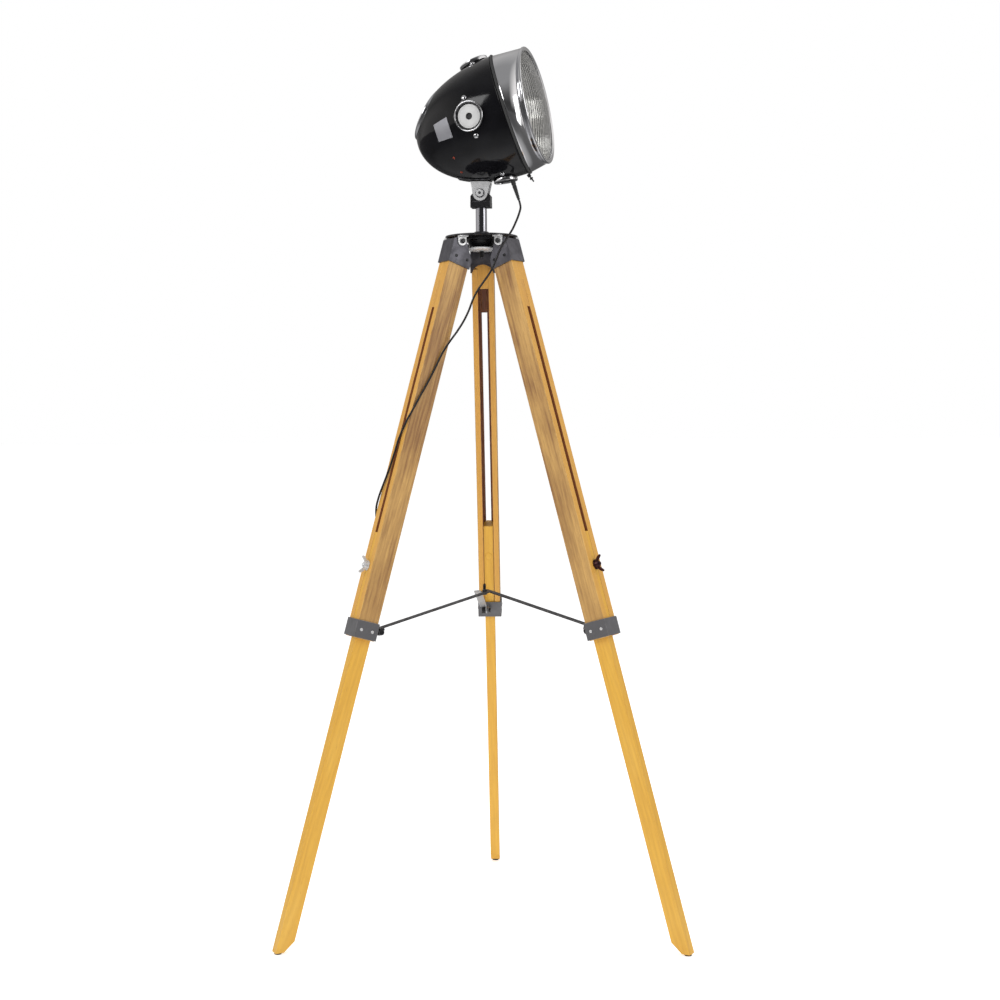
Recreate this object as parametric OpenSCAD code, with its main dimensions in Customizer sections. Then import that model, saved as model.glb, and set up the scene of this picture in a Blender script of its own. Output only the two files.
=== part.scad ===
/* [Tripod] */
// Height of the leg hinge bolts above the floor
hinge_z = 1157; // [900:1:1400]
// Distance of each hinge bolt from the lamp's axis
hinge_r = 48; // [47:0.5:52]
// Lean of the spread legs from the vertical, in degrees
leg_lean = 16.2; // [14:0.1:17]
// Turn of the whole tripod about the lamp's axis, in degrees
tripod_turn = -2.6; // [-10:0.1:10]
// Length of an upper leg from its hinge bolt to its lower end
upper_len = 680; // [560:1:840]
// Length of the lower leg that stays between the rails
lower_overlap = 176; // [120:1:240]
// Distance of the lock bolt below the top of the lower leg
lock_drop = 57; // [30:1:90]

/* [Wood] */
// Thickness of one rail of an upper leg
rail_t = 10; // [8:0.5:14]
// Width of the slot between the two rails
slot_w = 18; // [14:0.5:22]
// Depth of a rail, from its inner face to its outer face
rail_d = 36; // [32:0.5:44]
// Distance of a rail's inner face inward of the hinge bolt
rail_in = 24; // [20:0.5:26]
// Depth of the lower leg
lower_d = 27; // [20:0.5:30]
// Step from the rail's inner face to the lower leg's inner face
lower_step = 2; // [1:0.5:5]
// Side clearance between the lower leg and each rail
lower_gap = 0.5; // [0.3:0.1:1]
// Length of the head block below the hinge bolt
block_len = 69; // [50:1:90]
// Width of the slot between the lips on the rails' outer side
lip_slot = 9.5; // [9:0.5:12]
// Length of the head block's tongue between the lips, below the hinge bolt
tongue_len = 117; // [95:1:130]
// Length of the guide rib on the lower leg's outer side
rib_len = 160; // [100:1:170]

/* [Leg metalwork] */
// Thickness of the cap and collar sheet
sheet_t = 2; // [1:0.1:3]
// Clearance between the sheet and the wood
sheet_gap = 0.2; // [0.1:0.1:0.5]
// Height of the collar
collar_h = 29; // [20:1:40]
// Distance of the collar's lower edge above the rail ends
collar_rise = 1; // [0:1:20]
// Diameter of the hinge bolts
hinge_d = 6; // [5:0.5:7]
// Diameter of the lock bolts
lock_d = 6; // [5:0.5:8]
// Height of a foot pad
pad_h = 3; // [2:0.5:6]
// Diameter of a foot pad
pad_d = 12; // [8:1:14]

/* [Spreader] */
// Height of the spreader's centre above the floor
spreader_z = 567; // [540:1:600]
// Width of a spreader arm
arm_w = 13; // [9:0.5:15]
// Thickness of a spreader arm
arm_t = 2; // [1.5:0.1:3]
// Distance of a spreader arm's edge from the centre bolt's axis
arm_edge = 4.8; // [4.7:0.1:6]
// Distance of an arm's pivot inward of the rail's inner face
pivot_out = 12; // [11.5:0.5:16]
// Distance of an arm's strip above its pivot
strip_rise = 7.5; // [7:0.1:7.8]
// Diameter of an arm's pivot bolt
pivot_d = 5; // [4:0.5:6]
// Diameter of the centre bolt's head
centre_head_d = 9; // [7:0.5:9]

/* [Hub and pole] */
// Radius of the round hub plate
plate_r = 61; // [56:1:64]
// Thickness of the hub plate
plate_t = 3; // [3:0.5:6]
// Gap from the hinge bolt's axis up to the hub plate
plate_rise = 9; // [9:0.5:14]
// Diameter of the pole
pole_d = 19; // [16:0.5:24]
// Height of the pole's shoulder above the hub plate
pole_show = 47.5; // [30:0.5:80]
// Thickness of a bright hinge tab
tab_t = 2.5; // [2:0.5:3]

/* [Head] */
// Height of the tilt bolt above the pole's shoulder
tilt_rise = 23.5; // [22:0.5:30]
// Turn of the head toward the viewer, in degrees
head_pan = 9; // [0:0.5:30]
// Lift of the lamp's beam above the horizontal, in degrees
head_tilt = 17.6; // [0:0.1:25]
// Outer radius of the shell at its mouth
shell_r = 101; // [84:1:110]
// Length of the shell from its mouth to its tip
shell_len = 164; // [140:1:190]
// Thickness of the shell's sheet
shell_wall = 1.5; // [1:0.1:2.5]
// Distance of the bracket's seat behind the shell's mouth
seat_back = 80; // [70:1:90]
// Distance from the shell's skin down to the tilt bolt
seat_drop = 22; // [22:0.5:30]
// Depth of the trim ring along the shell's axis, at its middle
ring_depth = 47.5; // [42:0.5:60]
// How much the ring narrows from its back to its front, on the radius
ring_taper = 3.5; // [0:0.5:4]
// Lean of the ring's front against the shell's mouth, in degrees
ring_lean = 7.5; // [0:0.5:9]
// Turn of the ring's front toward the viewer, in degrees
ring_turn = 6.5; // [0:0.5:7]
// Diameter of the tilt bolt
tilt_d = 8; // [6:0.5:9]

/* [Ports] */
// Outer radius of a side or top port's bezel
port_r = 25; // [20:0.5:26]
// Outer radius of the bottom port's bezel
low_port_r = 20.5; // [18:0.5:21]
// Width of a port bezel's wall
port_wall = 3; // [2:0.5:4]
// Outer radius of the rear bezel
rear_r = 46; // [42:0.5:50]
// Rise of the rear cover's dome
rear_rise = 13; // [10:0.5:16]

/* [Cord] */
// Diameter of the cord
cord_d = 3.5; // [3:0.1:4]

/* [Hidden] */
$fn = 64;
eps = 0.01;
fit = 0.05;
gap = 0.3;
azimuths = [210 + tripod_turn, 330 + tripod_turn, 90 + tripod_turn];

// Leg: a leg's own frame has its origin on the hinge bolt, +X outward and +Z up the leg
leg_w = slot_w + 2 * rail_t;
leg_len = hinge_z / cos(leg_lean);
rail_out = rail_d - rail_in;
lower_t = slot_w - 2 * lower_gap;
lower_in = rail_in - lower_step;
lower_out = lower_d - lower_in;
lip_in = lower_out + lower_gap;
lip_w = (slot_w - lip_slot) / 2;
rib_w = lip_slot - 0.7;
rib_out = rail_out - 0.5;
block_inset = 0.3;
lower_top = -(upper_len - lower_overlap);
lock_z = lower_top - lock_drop;
collar_low = -(upper_len - collar_rise);
collar_top = collar_low + collar_h;
head_round = 8.5;
cap_w = leg_w + 2 * (sheet_gap + sheet_t);
cap_out = rail_out + sheet_gap + sheet_t;
cap_in = rail_in + sheet_gap + sheet_t;
cap_low_out = -38;
cap_low_in = -41;
cap_shoulder = -25;
cap_open = -2;
round_from = 148;
round_to = 68;
slope = head_round * [cos(round_from), sin(round_from)] - [-cap_in, cap_shoulder];
wood_inset = sheet_t + sheet_gap;
arch_r = cap_w / 2 - 2.5;
arch_drop = 4;
hinge_head_r = hinge_d / 2 + 1.5;
hinge_head_h = 4;
screw_r = 2.6;
screw_h = 1.4;
cap_screws = [[3, -26], [-18, -27]];
collar_screws = [[4, -15], [-16, -15]];
foot_r = hinge_r + lower_out * cos(leg_lean)
  + (hinge_z - pad_h + lower_out * sin(leg_lean)) * tan(leg_lean);
foot_flat = 14;
foot_cut = 40;

// Spreader: an arm's own frame has its origin on the pivot and +X along the arm, to the centre
pivot_x = -(rail_in + pivot_out);
pivot_z = collar_top - 12;
pivot_r = hinge_r + pivot_x * cos(leg_lean) - pivot_z * sin(leg_lean);
pivot_h = hinge_z + pivot_x * sin(leg_lean) + pivot_z * cos(leg_lean);
arm_reach = norm([pivot_r, spreader_z - pivot_h]);
arm_rise = atan2(spreader_z - pivot_h, pivot_r) - asin(strip_rise / arm_reach);
arm_len = sqrt(pow(arm_reach, 2) - pow(strip_rise, 2));
arm_off = arm_edge + arm_w / 2;
arm_past = 6;
tab_off = arm_edge + arm_t / 2;
tab_back = 3;
tab_front = 9;
eye_r = 5.5;
lug_t = 3;
lug_face = arm_edge - 0.2;
knob_r = 5.2;
knob_w = 7;

// Hub
plate_z = hinge_z + plate_rise;
shoulder_z = plate_z + plate_t + pole_show;
tab_in = cap_w / 2 + gap;
boss_r = 29.5;
boss_h = 7.5;
low_boss_h = 17;
low_boss_r = 13;
washer_r = 28;
stud_r = 4.2;
spigot_r = 7;
spigot_h = 12;

// Head: the shell's own frame has its origin at the centre of its mouth, +X along the beam
tilt_z = shoulder_z + tilt_rise;
function shell_at(back, grow = 0) =
  (shell_r + grow) * sqrt(1 - pow(back / (shell_len + grow), 2));
function lean_at(back) = atan2(back * shell_r * shell_r, shell_at(back) * shell_len * shell_len);
seat_lean = lean_at(seat_back);
mouth_x = seat_back + seat_drop * sin(seat_lean);
mouth_z = shell_at(seat_back) + seat_drop * cos(seat_lean);
ear_t = 2.4;
ear_gap = 21.2;
lug_w = 34;
lug_thick = ear_gap - 0.8;
web_t = 1.5;
saddle_t = 2;
web_z = seat_drop - saddle_t - 0.4 - web_t;
gasket_t = 4;
ring_back_r = shell_r - 1;
ring_r = ring_back_r - ring_taper;
ring_wall = 1.5;
bead_r = ring_r + 1;
lens_r = ring_r - 3;
lip_r = lens_r - 2;
lens_flat = 4;
lens_t = 3;
lens_rise = 13;
lens_front = -1.3;
bowl_r = lens_r - 5;
bowl_deep = 66;
bowl_neck = 16;
bowl_wall = 1.2;
bowl_rim = lens_front - lens_t - 0.3;
bowl_back = bowl_rim - bowl_deep;
bulb_r = 18;
bulb_x = -38;
bulb_foot = bulb_x - 36.2;
port_up = 6;
side_back = 56;
top_back = 31;
low_back = 40;
rear_tip = 46;
gland_back = 29.5;
gland_r = 3.9;
gland_len = 39;

// Cord: its free drop is in the row's frame, and the rest in the left leg's frame
cord_r = cord_d / 2;
tube_gap = 0.05;
drop_pts = [
  [66, -13.5, 1215.5], [64.2, -18, 1207.4], [61.2, -23.5, 1198.3], [56.8, -32, 1187.4], [51.9, -40.5, 1176.5],
  [46.2, -48, 1166.6], [40.1, -55, 1156.8], [33.8, -61, 1146.3], [28.3, -64.5, 1135.3], [24, -65.4, 1124.6],
  [19, -64.8, 1112.6], [12.4, -62.6, 1101], [3, -60, 1088], [-7, -59, 1074], [-15, -58, 1059],
  [-22, -58, 1041], [-31, -58, 1023], [-42, -58, 1006]];
leg_pts = [
  [-26.5, 32.6, -150], [-20.5, 27, -169], [-14.5, 23.5, -190], [-9.5, 22, -215], [-3, 21.9, -242],
  [5, 21.9, -270], [11, 21.9, -292], [13.8, 21.1, -303], [14.9, 18.5, -310], [15, 12.5, -322],
  [15, 3, -346], [15, 0, -371], [15, -4.5, -397], [15, -11, -420], [15, -17, -441],
  [14.2, -20.2, -456], [12.6, -21.6, -466], [9, -21.9, -478], [3.5, -21.8, -492], [-2, -21.7, -510],
  [-5.2, -21.6, -532], [-6, -21.6, -560], [-6, -21.6, -620], [-6, -22.4, -632], [-6, -23.7, -645],
  [-6, -23.8, -662]];
foot_pts = [
  [-6, -23.8, -690], [-6.5, -21.5, -730], [-7.4, -16, -790], [-8.2, -12.2, -860], [-8.5, -11.1, -940],
  [-8.5, -11.1, -1040], [-8.5, -11.1, -1150]];
floor_pts = [
  [-329, -154, 28], [-332, -148, 17], [-334, -140, 9.5], [-336, -131, 6.5], [-337, -122, 6.6]];
plug_at = [-338, -110, 7];
plug_turn = 91.5;
clip_zs = [-575, -605];
low_clip_zs = [-1060, -1130];
clip_len = 6;
clip_wall = 1.1;
clip_out = 2.6;

module on_leg(leg) {
  rotate([0, 0, azimuths[leg]])
    translate([hinge_r, 0, hinge_z])
      rotate([0, -leg_lean, 0])
        children();
}

module on_azimuth(leg) {
  rotate([0, 0, azimuths[leg]])
    children();
}

module on_arm(leg) {
  rotate([0, 0, azimuths[leg] + 180])
    translate([-pivot_r, 0, pivot_h])
      rotate([0, -arm_rise, 0])
        children();
}

// A plate in the leg's XZ plane, from one side face to the other
module side_plate(y0, y1) {
  translate([0, y1, 0])
    rotate([90, 0, 0])
      linear_extrude(y1 - y0)
        children();
}

// A pin across the leg
module cross_pin(x, z, y0, y1, r) {
  translate([x, y0, z])
    rotate([-90, 0, 0])
      cylinder(h = y1 - y0, r = r);
}

// Outline of the leg's top, seen from the side; inset draws its slope and its round top inward
module top_outline(out, inn, low_out, low_in, top, inset) {
  shoulder = cap_shoulder + ((cap_in - inn) * slope[1] - inset * norm(slope)) / slope[0];
  polygon(concat(
    [[out, top], [out, low_out], [-inn, low_in], [-inn, shoulder]],
    [for (a = [round_from:-10:round_to]) (head_round - inset) * [cos(a), sin(a)]]));
}

module cap(leg) {
  color("dimgray")
    on_leg(leg)
      difference() {
        side_plate(-cap_w / 2, cap_w / 2)
          top_outline(cap_out, cap_in, cap_low_out, cap_low_in, 1, 0);
        side_plate(-leg_w / 2 - sheet_gap, leg_w / 2 + sheet_gap)
          top_outline(rail_out + sheet_gap, rail_in + sheet_gap, -80, -80, 0, sheet_t);
        translate([cap_open, -leg_w / 2 - sheet_gap, -80])
          cube([rail_out + sheet_gap - cap_open, leg_w + 2 * sheet_gap, 110]);
        cross_pin(0, 0, -cap_w, cap_w, hinge_d / 2 + fit);
        translate([-cap_in - 1, 0, cap_low_in - arch_drop])
          rotate([0, 90, 0])
            cylinder(h = sheet_t + 2, r = arch_r);
      }
}

module rail(side) {
  y0 = side > 0 ? slot_w / 2 : -leg_w / 2;
  lip_y = side > 0 ? lip_slot / 2 : -slot_w / 2 - 1;
  difference() {
    union() {
      translate([-rail_in, y0, -upper_len])
        cube([rail_d, rail_t, upper_len - 40]);
      translate([lip_in, lip_y, -upper_len])
        cube([rail_out - lip_in, lip_w + 1, upper_len - 30]);
      side_plate(y0, y0 + rail_t)
        top_outline(rail_out, rail_in, -41, -41, 0, wood_inset);
    }
    cross_pin(0, 0, -leg_w, leg_w, hinge_d / 2 + fit);
  }
}

module upper_leg(leg) {
  color("peru")
    on_leg(leg) {
      rail(-1);
      rail(1);
      difference() {
        union() {
          side_plate(-slot_w / 2, slot_w / 2)
            top_outline(
              rail_out - block_inset, rail_in - block_inset, -block_len, -block_len, 0, wood_inset);
          translate([lip_in, -lip_slot / 2, -tongue_len])
            cube([rail_out - block_inset - lip_in, lip_slot, tongue_len - block_len + 1]);
        }
        cross_pin(0, 0, -leg_w, leg_w, hinge_d / 2 + fit);
      }
    }
}

module collar(leg) {
  color("dimgray")
    on_leg(leg)
      difference() {
        union() {
          translate([-cap_in, -cap_w / 2, collar_low])
            cube([cap_in + cap_out, cap_w, collar_h]);
          side_plate(lug_face - lug_t, lug_face) {
            translate([pivot_x, pivot_z])
              circle(r = 6.5);
            translate([pivot_x, pivot_z - 6.5])
              square([-pivot_x - cap_in + 1, 13]);
          }
        }
        translate([-rail_in - sheet_gap, -leg_w / 2 - sheet_gap, collar_low - 1])
          cube([rail_d + 2 * sheet_gap, leg_w + 2 * sheet_gap, collar_h + 2]);
        cross_pin(pivot_x, pivot_z, lug_face - lug_t - 1, lug_face + 1, pivot_d / 2 + 0.1);
      }
}

module screw_pair(x, z) {
  for (side = [-1, 1])
    translate([x, side * cap_w / 2, z])
      rotate([-90 * side, 0, 0])
        cylinder(h = screw_h, r1 = screw_r, r2 = screw_r * 0.7);
}

// Small screws of one leg, and the bolt that the spreader arm turns on
module leg_screws(leg) {
  color("black")
    on_leg(leg) {
      for (p = cap_screws)
        screw_pair(p[0], p[1]);
      for (p = collar_screws)
        screw_pair(p[0], collar_top + p[1]);
      knob_y = tab_off + arm_t / 2 + 0.2;
      cross_pin(pivot_x, pivot_z, lug_face - lug_t - 3, knob_y + knob_w - 1, pivot_d / 2);
      translate([pivot_x, lug_face - lug_t - 3.6, pivot_z])
        rotate([-90, 0, 0])
          cylinder(h = 3.5, r = 4.5, $fn = 6);
      cross_pin(pivot_x, pivot_z, knob_y, knob_y + knob_w, knob_r);
    }
}

module lower_leg(leg) {
  color("goldenrod")
    difference() {
      on_leg(leg)
        difference() {
          union() {
            translate([-lower_in, -lower_t / 2, -leg_len - 20])
              cube([lower_d, lower_t, leg_len + 20 + lower_top]);
            translate([lower_out - 1, -rib_w / 2, lower_top - rib_len])
              cube([rib_out - lower_out + 1, rib_w, rib_len]);
          }
          translate([-lower_in - 1, 0, lock_z])
            rotate([0, 90, 0])
              cylinder(h = lower_in + rib_out + 2, r = lock_d / 2 + 0.1);
        }
      on_azimuth(leg) {
        translate([foot_r - 200, -lower_t, pad_h - 100])
          cube([400, 2 * lower_t, 100]);
        side_plate(-lower_t, lower_t)
          polygon([
            [foot_r - foot_flat, pad_h - 1], [foot_r - foot_flat, pad_h],
            [foot_r - foot_flat - 60, pad_h + 60 * tan(foot_cut)], [foot_r - foot_flat - 60, pad_h - 1]]);
      }
    }
}

module foot_pad(leg) {
  color("gray")
    on_azimuth(leg)
      translate([foot_r - foot_flat / 2, 0, 0])
        cylinder(h = pad_h, r = pad_d / 2);
}

// Bolt through the lower leg, with its round head inside and its washer on the rails
module lock_bolt(leg) {
  color("silver")
    on_leg(leg)
      translate([0, 0, lock_z])
        rotate([0, 90, 0]) {
          translate([0, 0, -lower_in - 2.5])
            cylinder(h = 2.5 - eps, r = lock_d / 2 + 3.5);
          translate([0, 0, -lower_in - 1])
            cylinder(h = lower_in + rail_out + 11, r = lock_d / 2);
        }
}

module wing_nut(leg) {
  color("silver")
    on_leg(leg)
      translate([rail_out, 0, lock_z])
        rotate([0, 90, 0])
          difference() {
            union() {
              translate([0, 0, gap])
                cylinder(h = 1.6, r = 8.5);
              translate([0, 0, gap + 1])
                cylinder(h = 6, r1 = 6.5, r2 = 5.2);
              for (side = [0, 180])
                rotate([0, 0, side])
                  side_plate(-1.25, 1.25)
                    polygon([[3.6, 2.5], [10, 5], [14.5, 11], [12.5, 13.5], [8, 10], [4.4, 7]]);
            }
            cylinder(h = 20, r = lock_d / 2 + fit);
          }
}

// Flat strip to the centre, with a tab that comes down from its edge to the pivot
module spreader_arm(leg) {
  color("dimgray")
    on_arm(leg)
      difference() {
        union() {
          side_plate(-tab_off - arm_t / 2, -tab_off + arm_t / 2) {
            circle(r = eye_r);
            translate([-tab_back, 0])
              square([tab_back + tab_front, strip_rise]);
          }
          translate([-tab_back, -arm_off - arm_w / 2, strip_rise - arm_t / 2])
            cube([tab_back + arm_len, arm_w, arm_t]);
          translate([arm_len, -arm_off, strip_rise - arm_t / 2])
            cylinder(h = arm_t, r = arm_past);
        }
        cross_pin(0, 0, -tab_off - arm_t, -tab_off + arm_t, pivot_d / 2 + fit);
      }
}

module spreader_bolt() {
  color("dimgray")
    translate([0, 0, spreader_z]) {
      translate([0, 0, -5])
        cylinder(h = 18, r = 2.5);
      translate([0, 0, -6])
        cylinder(h = 3.5, r = centre_head_d / 2 - 0.1);
      translate([0, 0, -2])
        cylinder(h = 5, r = centre_head_d / 2, $fn = 6);
    }
}

module hub_plate() {
  color("#2a2a2c")
    difference() {
      translate([0, 0, plate_z])
        cylinder(h = plate_t, r = plate_r);
      translate([0, 0, plate_z - 1])
        cylinder(h = plate_t + 2, r = pole_d / 2 + 0.2);
    }
}

module hinge_tabs() {
  color("lightgray")
    for (leg = [0:2])
      on_azimuth(leg)
        for (side = [-1, 1]) {
          y0 = side > 0 ? tab_in : -tab_in - tab_t;
          foot_y = side > 0 ? tab_in : -tab_in - tab_t - 7;
          difference() {
            union() {
              translate([hinge_r, 0, hinge_z])
                side_plate(y0, y0 + tab_t) {
                  circle(r = 7.5);
                  translate([-7.5, 0])
                    square([15, plate_rise - 1]);
                }
              translate([hinge_r - 7.5, foot_y, plate_z - 2 - eps])
                cube([15, tab_t + 7, 2]);
            }
            translate([hinge_r, 0, hinge_z])
              cross_pin(0, 0, -50, 50, hinge_d / 2 + 0.1);
          }
        }
}

module hinge_bolts() {
  color("gray")
    for (leg = [0:2])
      on_azimuth(leg)
        translate([hinge_r, 0, hinge_z]) {
          reach = tab_in + tab_t;
          cross_pin(0, 0, -reach - 1, reach + hinge_head_h + 1.5, hinge_d / 2);
          translate([0, -reach - hinge_head_h, 0])
            rotate([-90, 0, 0])
              cylinder(h = hinge_head_h - eps, r = hinge_head_r, $fn = 6);
          difference() {
            translate([0, reach + eps, 0])
              rotate([-90, 0, 0])
                cylinder(h = hinge_head_h, r = hinge_head_r, $fn = 6);
            cross_pin(0, 0, 0, reach + 10, hinge_d / 2 + fit);
          }
        }
}

// Flange on the plate and clamp boss under it
module hub_boss() {
  color("#1c1c1e") {
    translate([0, 0, plate_z + plate_t + eps])
      rotate_extrude()
        polygon([
          [pole_d / 2 + fit, 0], [boss_r, 0], [boss_r, 1.5], [boss_r - 4, 3], [boss_r - 10, 4.5],
          [pole_d / 2 + 4, 5.5], [pole_d / 2 + 2, boss_h], [pole_d / 2 + fit, boss_h]]);
    translate([0, 0, plate_z - eps])
      rotate_extrude()
        polygon([
          [0, 0], [boss_r, 0], [boss_r, -3], [24, -5], [22.5, -9], [18, -14], [low_boss_r, -low_boss_h],
          [stud_r, -low_boss_h], [stud_r, -low_boss_h - 14], [stud_r - 1, -low_boss_h - 15],
          [0, -low_boss_h - 15]]);
  }
}

// Bright dished washer under the hub
module hub_ring() {
  color("lightgray")
    translate([0, 0, plate_z - low_boss_h - 2 * eps])
      rotate_extrude()
        polygon([
          [stud_r + fit, 0], [washer_r, 0], [washer_r - 2, -2.5], [washer_r - 8, -4.5],
          [stud_r + fit, -5]]);
}

module pole() {
  color("#303034")
    union() {
      translate([0, 0, plate_z])
        cylinder(h = shoulder_z - plate_z, r = pole_d / 2);
      translate([0, 0, shoulder_z - 1])
        cylinder(h = spigot_h + 1, r = spigot_r);
    }
}

module swivel_block() {
  color("#1c1c1e")
    translate([0, 0, shoulder_z + 0.1])
      rotate([0, 0, -head_pan])
        difference() {
          union() {
            translate([-lug_w / 2, -11.5, 0])
              cube([lug_w, 23, tilt_rise - 13.6]);
            side_plate(-lug_thick / 2, lug_thick / 2)
              polygon([
                [-lug_w / 2, 0], [lug_w / 2, 0], [lug_w / 2, tilt_rise - 4], [9, tilt_rise + 5],
                [-9, tilt_rise + 5], [-lug_w / 2, tilt_rise - 4]]);
          }
          translate([0, 0, -1])
            cylinder(h = spigot_h + 1.2, r = spigot_r + fit);
          cross_pin(0, tilt_rise - 0.1, -20, 20, tilt_d / 2 + fit);
        }
}

module on_head() {
  translate([0, 0, tilt_z])
    rotate([0, 0, -head_pan])
      rotate([0, -head_tilt, 0])
        children();
}

module on_bracket() {
  on_head()
    rotate([0, seat_lean, 0])
      children();
}

module on_shell() {
  on_head()
    translate([mouth_x, 0, mouth_z])
      children();
}

module on_ring() {
  on_shell()
    translate([ring_depth, 0, 0])
      rotate([0, ring_lean, -ring_turn])
        children();
}

// Turns a profile in radius and distance along +X
module spin() {
  rotate([0, 90, 0])
    rotate_extrude()
      children();
}

// Frame on the shell's skin: phi turns from the top toward the viewer, +Z is outward
module on_port(phi, back) {
  rotate([phi, 0, 0])
    translate([-back, 0, shell_at(back)])
      rotate([0, -lean_at(back), 0])
        children();
}

// The rear bezel looks up and back
module on_rear() {
  s = sin(rear_tip);
  c = cos(rear_tip);
  reach = sqrt(pow(shell_len * c, 2) + pow(shell_r * s, 2));
  at_x = -shell_len * shell_len * c / reach;
  at_z = shell_r * shell_r * s / reach;
  translate([at_x, 0, at_z])
    rotate([0, -(90 - rear_tip), 0])
      children();
}

ports = [
  [90, side_back, port_r], [-90, side_back, port_r], [0, top_back, port_r], [180, low_back, low_port_r]];

module headlamp_shell() {
  arc = [for (a = [0:6:90]) a];
  color("#151517")
    on_shell()
      difference() {
        spin()
          polygon(concat(
            [for (a = arc) [shell_r * cos(a), -shell_len * sin(a)]],
            [for (i = [len(arc) - 1:-1:0])
              [(shell_r - shell_wall) * cos(arc[i]), -(shell_len - shell_wall) * sin(arc[i])]]));
        for (p = ports)
          on_port(p[0], p[1])
            translate([0, 0, -12])
              cylinder(h = 24, r = p[2] - port_wall + 0.1);
        on_rear()
          translate([0, 0, -30])
            cylinder(h = 60, r = rear_r + 0.1);
      }
}

module shell_gasket() {
  color("black")
    on_shell()
      spin()
        polygon([
          [shell_r - 5, 0.1], [shell_r + 1.5, 0.1], [shell_r + 2, gasket_t / 2],
          [shell_r + 1.5, gasket_t], [shell_r - 5, gasket_t]]);
}

module trim_ring() {
  color("silver") {
    difference() {
      on_shell()
        spin()
          polygon([
            [ring_back_r - ring_wall, gasket_t + 0.1], [ring_back_r, gasket_t + 0.1],
            [ring_back_r - 2 * ring_taper, 2 * ring_depth],
            [ring_back_r - 2 * ring_taper - ring_wall, 2 * ring_depth]]);
      on_ring()
        translate([-1, -200, -200])
          cube([200, 400, 400]);
    }
    on_ring()
      spin()
        polygon([
          [lip_r, -1], [lens_r, -1], [ring_r - 2.5, -3], [bead_r - 0.5, -3], [bead_r + 0.5, -1.5],
          [bead_r + 0.5, 0.5], [bead_r - 1, 2], [ring_r - 2, 2], [lip_r, 0.4]]);
  }
}

// Dome of a given edge radius and rise, at a radius
function dome(r, edge, rise) = rise * (1 - pow(r / edge, 2));

module lens() {
  inner = lens_r - lens_flat;
  steps = [0:inner / 12:inner];
  color("azure", 0.4)
    on_ring()
      spin()
        polygon(concat(
          [for (r = steps) [r, lens_front + dome(r, inner, lens_rise)]],
          [[lens_r, lens_front], [lens_r, lens_front - lens_t]],
          [for (i = [12:-1:0]) let (r = inner * i / 12)
            [r, lens_front - lens_t + dome(r, inner, lens_rise)]]));
}

// Height of the bowl above its vertex, at a radius
function bowl_at(r) = bowl_deep * pow(r / bowl_r, 2);

module reflector() {
  span = bowl_r - bowl_neck;
  radii = [for (i = [0:10]) bowl_r - span * i / 10];
  color("white")
    on_ring()
      spin()
        polygon(concat(
          [[lens_r, bowl_rim]],
          [for (r = radii) [r, bowl_back + bowl_at(r)]],
          [for (i = [10:-1:0]) [radii[i], bowl_back + bowl_at(radii[i]) - bowl_wall]],
          [[lens_r, bowl_rim - bowl_wall]]));
}

module bulb() {
  color("white", 0.6)
    on_ring()
      translate([bulb_x, 0, 0])
        spin()
          polygon(concat(
            [for (a = [90:-10:-50]) [bulb_r * cos(a), bulb_r * sin(a)]], [[9, -22], [9, -36], [0, -36]]));
}

module lamp_holder() {
  seat = bowl_back + bowl_at(bowl_neck) - bowl_wall - gap;
  color("ivory")
    on_ring()
      spin()
        polygon([
          [9.2, bowl_back + 6], [14, bowl_back + 6], [14, seat], [20, seat], [20, seat - 4.3],
          [15, seat - 4.3], [15, bowl_back - 28], [0, bowl_back - 28], [0, bulb_foot], [9.2, bulb_foot]]);
}

// Raised bezels of the four ports, each seated in its hole
module port_bezels() {
  color("silver")
    on_shell()
      for (p = ports)
        on_port(p[0], p[1])
          rotate_extrude()
            polygon([
              [p[2] - port_wall - 1.5, -6], [p[2] - port_wall, -6], [p[2] - port_wall, 0.4],
              [p[2], 0.4], [p[2], port_up - 1.5], [p[2] - 1.5, port_up],
              [p[2] - port_wall - 1.5, port_up - 2]]);
}

module port_discs() {
  color("white")
    on_shell()
      difference() {
        for (p = ports)
          on_port(p[0], p[1])
            rotate_extrude()
              polygon([
                [5.5, 1], [6.5, -1], [p[2] - port_wall - 1.8, -1], [p[2] - port_wall - 1.8, 2.4], [7.5, 3.2],
                [5.5, 2.6]]);
        translate([-gland_back, 0, -shell_r - 20])
          cylinder(h = 40, r = gland_r + 0.1);
      }
}

module port_rivets() {
  color("silver")
    on_shell()
      for (p = ports)
        for (side = [-1, 1])
          rotate([side * 180 / PI * (p[2] + 8) / shell_at(p[1]), 0, 0])
            on_port(p[0], p[1])
              translate([0, 0, 0.1])
                rotate_extrude()
                  polygon([[0, 0], [4.5, 0], [4.3, 1.3], [3.4, 2.4], [1.8, 3.1], [0, 3.3]]);
}

module rear_bezel() {
  color("silver")
    on_shell()
      on_rear()
        rotate_extrude()
          polygon([
            [rear_r - 5, -17.5], [rear_r, -17.5], [rear_r, -10.5], [rear_r - 1.5, -9], [rear_r - 5, -10]]);
}

module rear_cover() {
  inner = rear_r - 5.2;
  color("#202022")
    on_shell()
      on_rear()
        translate([0, 0, -13])
          rotate_extrude()
            polygon(concat(
              [for (i = [0:8]) [inner * i / 8, dome(inner * i / 8, inner, rear_rise)]],
              [for (i = [8:-1:0]) [inner * i / 8, dome(inner * i / 8, inner, rear_rise) - 2.5]]));
}

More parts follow.
